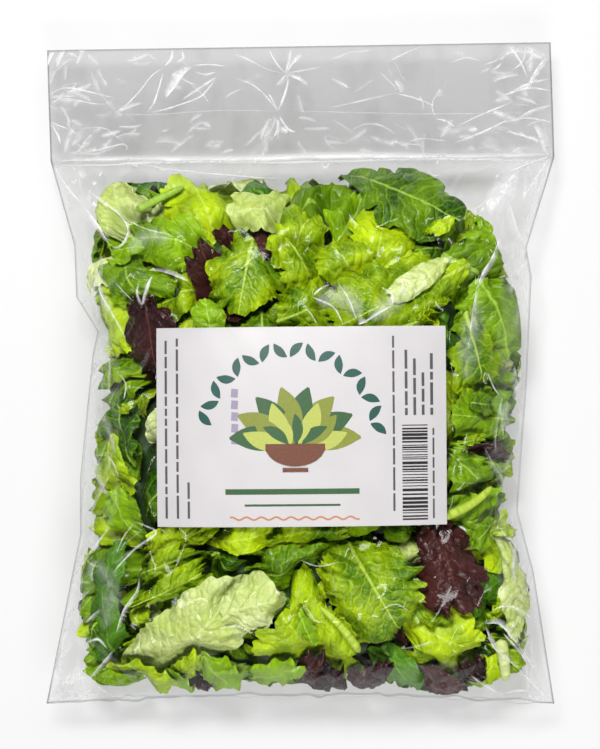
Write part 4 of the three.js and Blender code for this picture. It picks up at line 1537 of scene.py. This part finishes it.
def print_label():
    sheet = Print()
    rng = np.random.default_rng(31)
    print_garland(sheet)
    print_emblem(sheet)
    sheet.bar("green", -36, -30.4, 27, -30.4, 2.6)
    sheet.bar("green", -27, -36.8, 18, -36.8, 1.0)
    wave = np.linspace(-34, 27, 62)
    sheet.stroke("orange", np.stack([wave, -43 + 0.7 * np.sin(0.9 * wave)], axis=1), 0.8)
    for x, y0, y1, width in PRINT_LINES:
        print_words(sheet, rng, "grey", x, y0, y1, width)
    for y in (14, 8.5, 3, -2.5, -8):
        sheet.bar("violet", -31.5, y, -31.2, y + 4, 3.2)
    print_stripes(sheet, rng)
    inks = [ink_material("ink_" + ink, colour) for ink, colour in INKS.items()]
    return [dress(sheet.mesh("label_print", inks), "label")]


# Studio


def add_light(name, polar, azimuth, width, height, radiance, shines=True):
    """A soft light at a direction from the bag, in degrees: polar from straight up, azimuth from +X."""
    data = bpy.data.lights.new(name, "AREA")
    data.shape = "RECTANGLE"
    data.size, data.size_y = width, height
    data.energy = radiance * math.pi * width * height
    light = bpy.data.objects.new(name, data)
    tip, around = math.radians(polar), math.radians(azimuth)
    light.location = (
        LIGHT_DISTANCE * math.sin(tip) * math.cos(around),
        LIGHT_DISTANCE * math.sin(tip) * math.sin(around),
        LIGHT_DISTANCE * math.cos(tip),
    )
    light.rotation_euler = (tip, 0, around + math.pi / 2)
    light.visible_camera = False
    light.visible_diffuse = shines
    bpy.context.scene.collection.objects.link(light)
    return light


LIGHT_DISTANCE = 1.3  # metres


def make_world(scene):
    """A pale room with a dark ceiling right above, which keeps the flat film clear of reflections."""
    world = bpy.data.worlds.new("studio")
    scene.world = world
    world.use_nodes = True
    tree = world.node_tree
    background = tree.nodes["Background"]
    where = tree.nodes.new("ShaderNodeTexCoord")
    parts = tree.nodes.new("ShaderNodeSeparateXYZ")
    fade = tree.nodes.new("ShaderNodeMapRange")
    fade.interpolation_type = "SMOOTHSTEP"
    fade.inputs["From Min"].default_value = math.cos(math.radians(DARK_CEILING[1]))
    fade.inputs["From Max"].default_value = math.cos(math.radians(DARK_CEILING[0]))
    fade.inputs["To Min"].default_value = ROOM_LIGHT
    fade.inputs["To Max"].default_value = CEILING_LIGHT
    tree.links.new(where.outputs["Generated"], parts.inputs[0])
    tree.links.new(parts.outputs["Z"], fade.inputs["Value"])
    tree.links.new(fade.outputs[0], background.inputs["Strength"])


DARK_CEILING = (46, 64)  # degrees from straight up where the dark ceiling begins to give way, and ends
ROOM_LIGHT = 0.8
CEILING_LIGHT = 0.05  # of the dark part


# Soft lights: name, degrees from straight up and round from +X, width and height in metres, radiance
SOFT_LIGHTS = [
    ("key", 28, 108, 0.34, 0.28, 67), ("fill", 40, 60, 0.6, 0.5, 4), ("front", 44, 280, 0.6, 0.5, 13),
]
GLINTS = 11  # narrow lights in a ring, that only gloss shows, for the film's streaks
GLINT_HEIGHTS = (46, 60, 53)  # how far they are from straight up, by turns
GLINT_START = 9  # where the first one is, in degrees round from +X
GLINT_SIZE = (0.22, 0.07)
GLINT_LIGHT = 6


def lights(not_film):
    """Soft lights, whose mirror images the film is kept clear of, and a ring of glints for the film."""
    for name, polar, azimuth, width, height, radiance in SOFT_LIGHTS:
        light = add_light(name, polar, azimuth, width, height, radiance)
        receivers = bpy.data.collections.new(name + "_receivers")
        for piece in not_film:
            receivers.objects.link(piece)
        light.light_linking.receiver_collection = receivers
    for number in range(GLINTS):
        azimuth = 360 * number / GLINTS + GLINT_START
        polar = GLINT_HEIGHTS[number % 3]
        add_light("glint_%d" % number, polar, azimuth, *GLINT_SIZE, GLINT_LIGHT, shines=False)


def studio():
    scene = bpy.context.scene
    bpy.ops.mesh.primitive_plane_add(size=6, location=(0, 0, -0.0002))
    floor = bpy.context.object
    floor.name = "studio_floor"
    floor.data.materials.append(floor_material())

    camera_data = bpy.data.cameras.new("camera")
    camera_data.lens = LENS
    camera = bpy.data.objects.new("camera", camera_data)
    camera.location = (CAMERA_X * MM, CAMERA_Y * MM, CAMERA_Z * MM)
    scene.collection.objects.link(camera)
    scene.camera = camera

    make_world(scene)
    scene.view_settings.view_transform = "Standard"
    return floor


floor = studio()
pieces = make_leaves() + make_label() + print_label()
lights(pieces + [make_film(), floor])
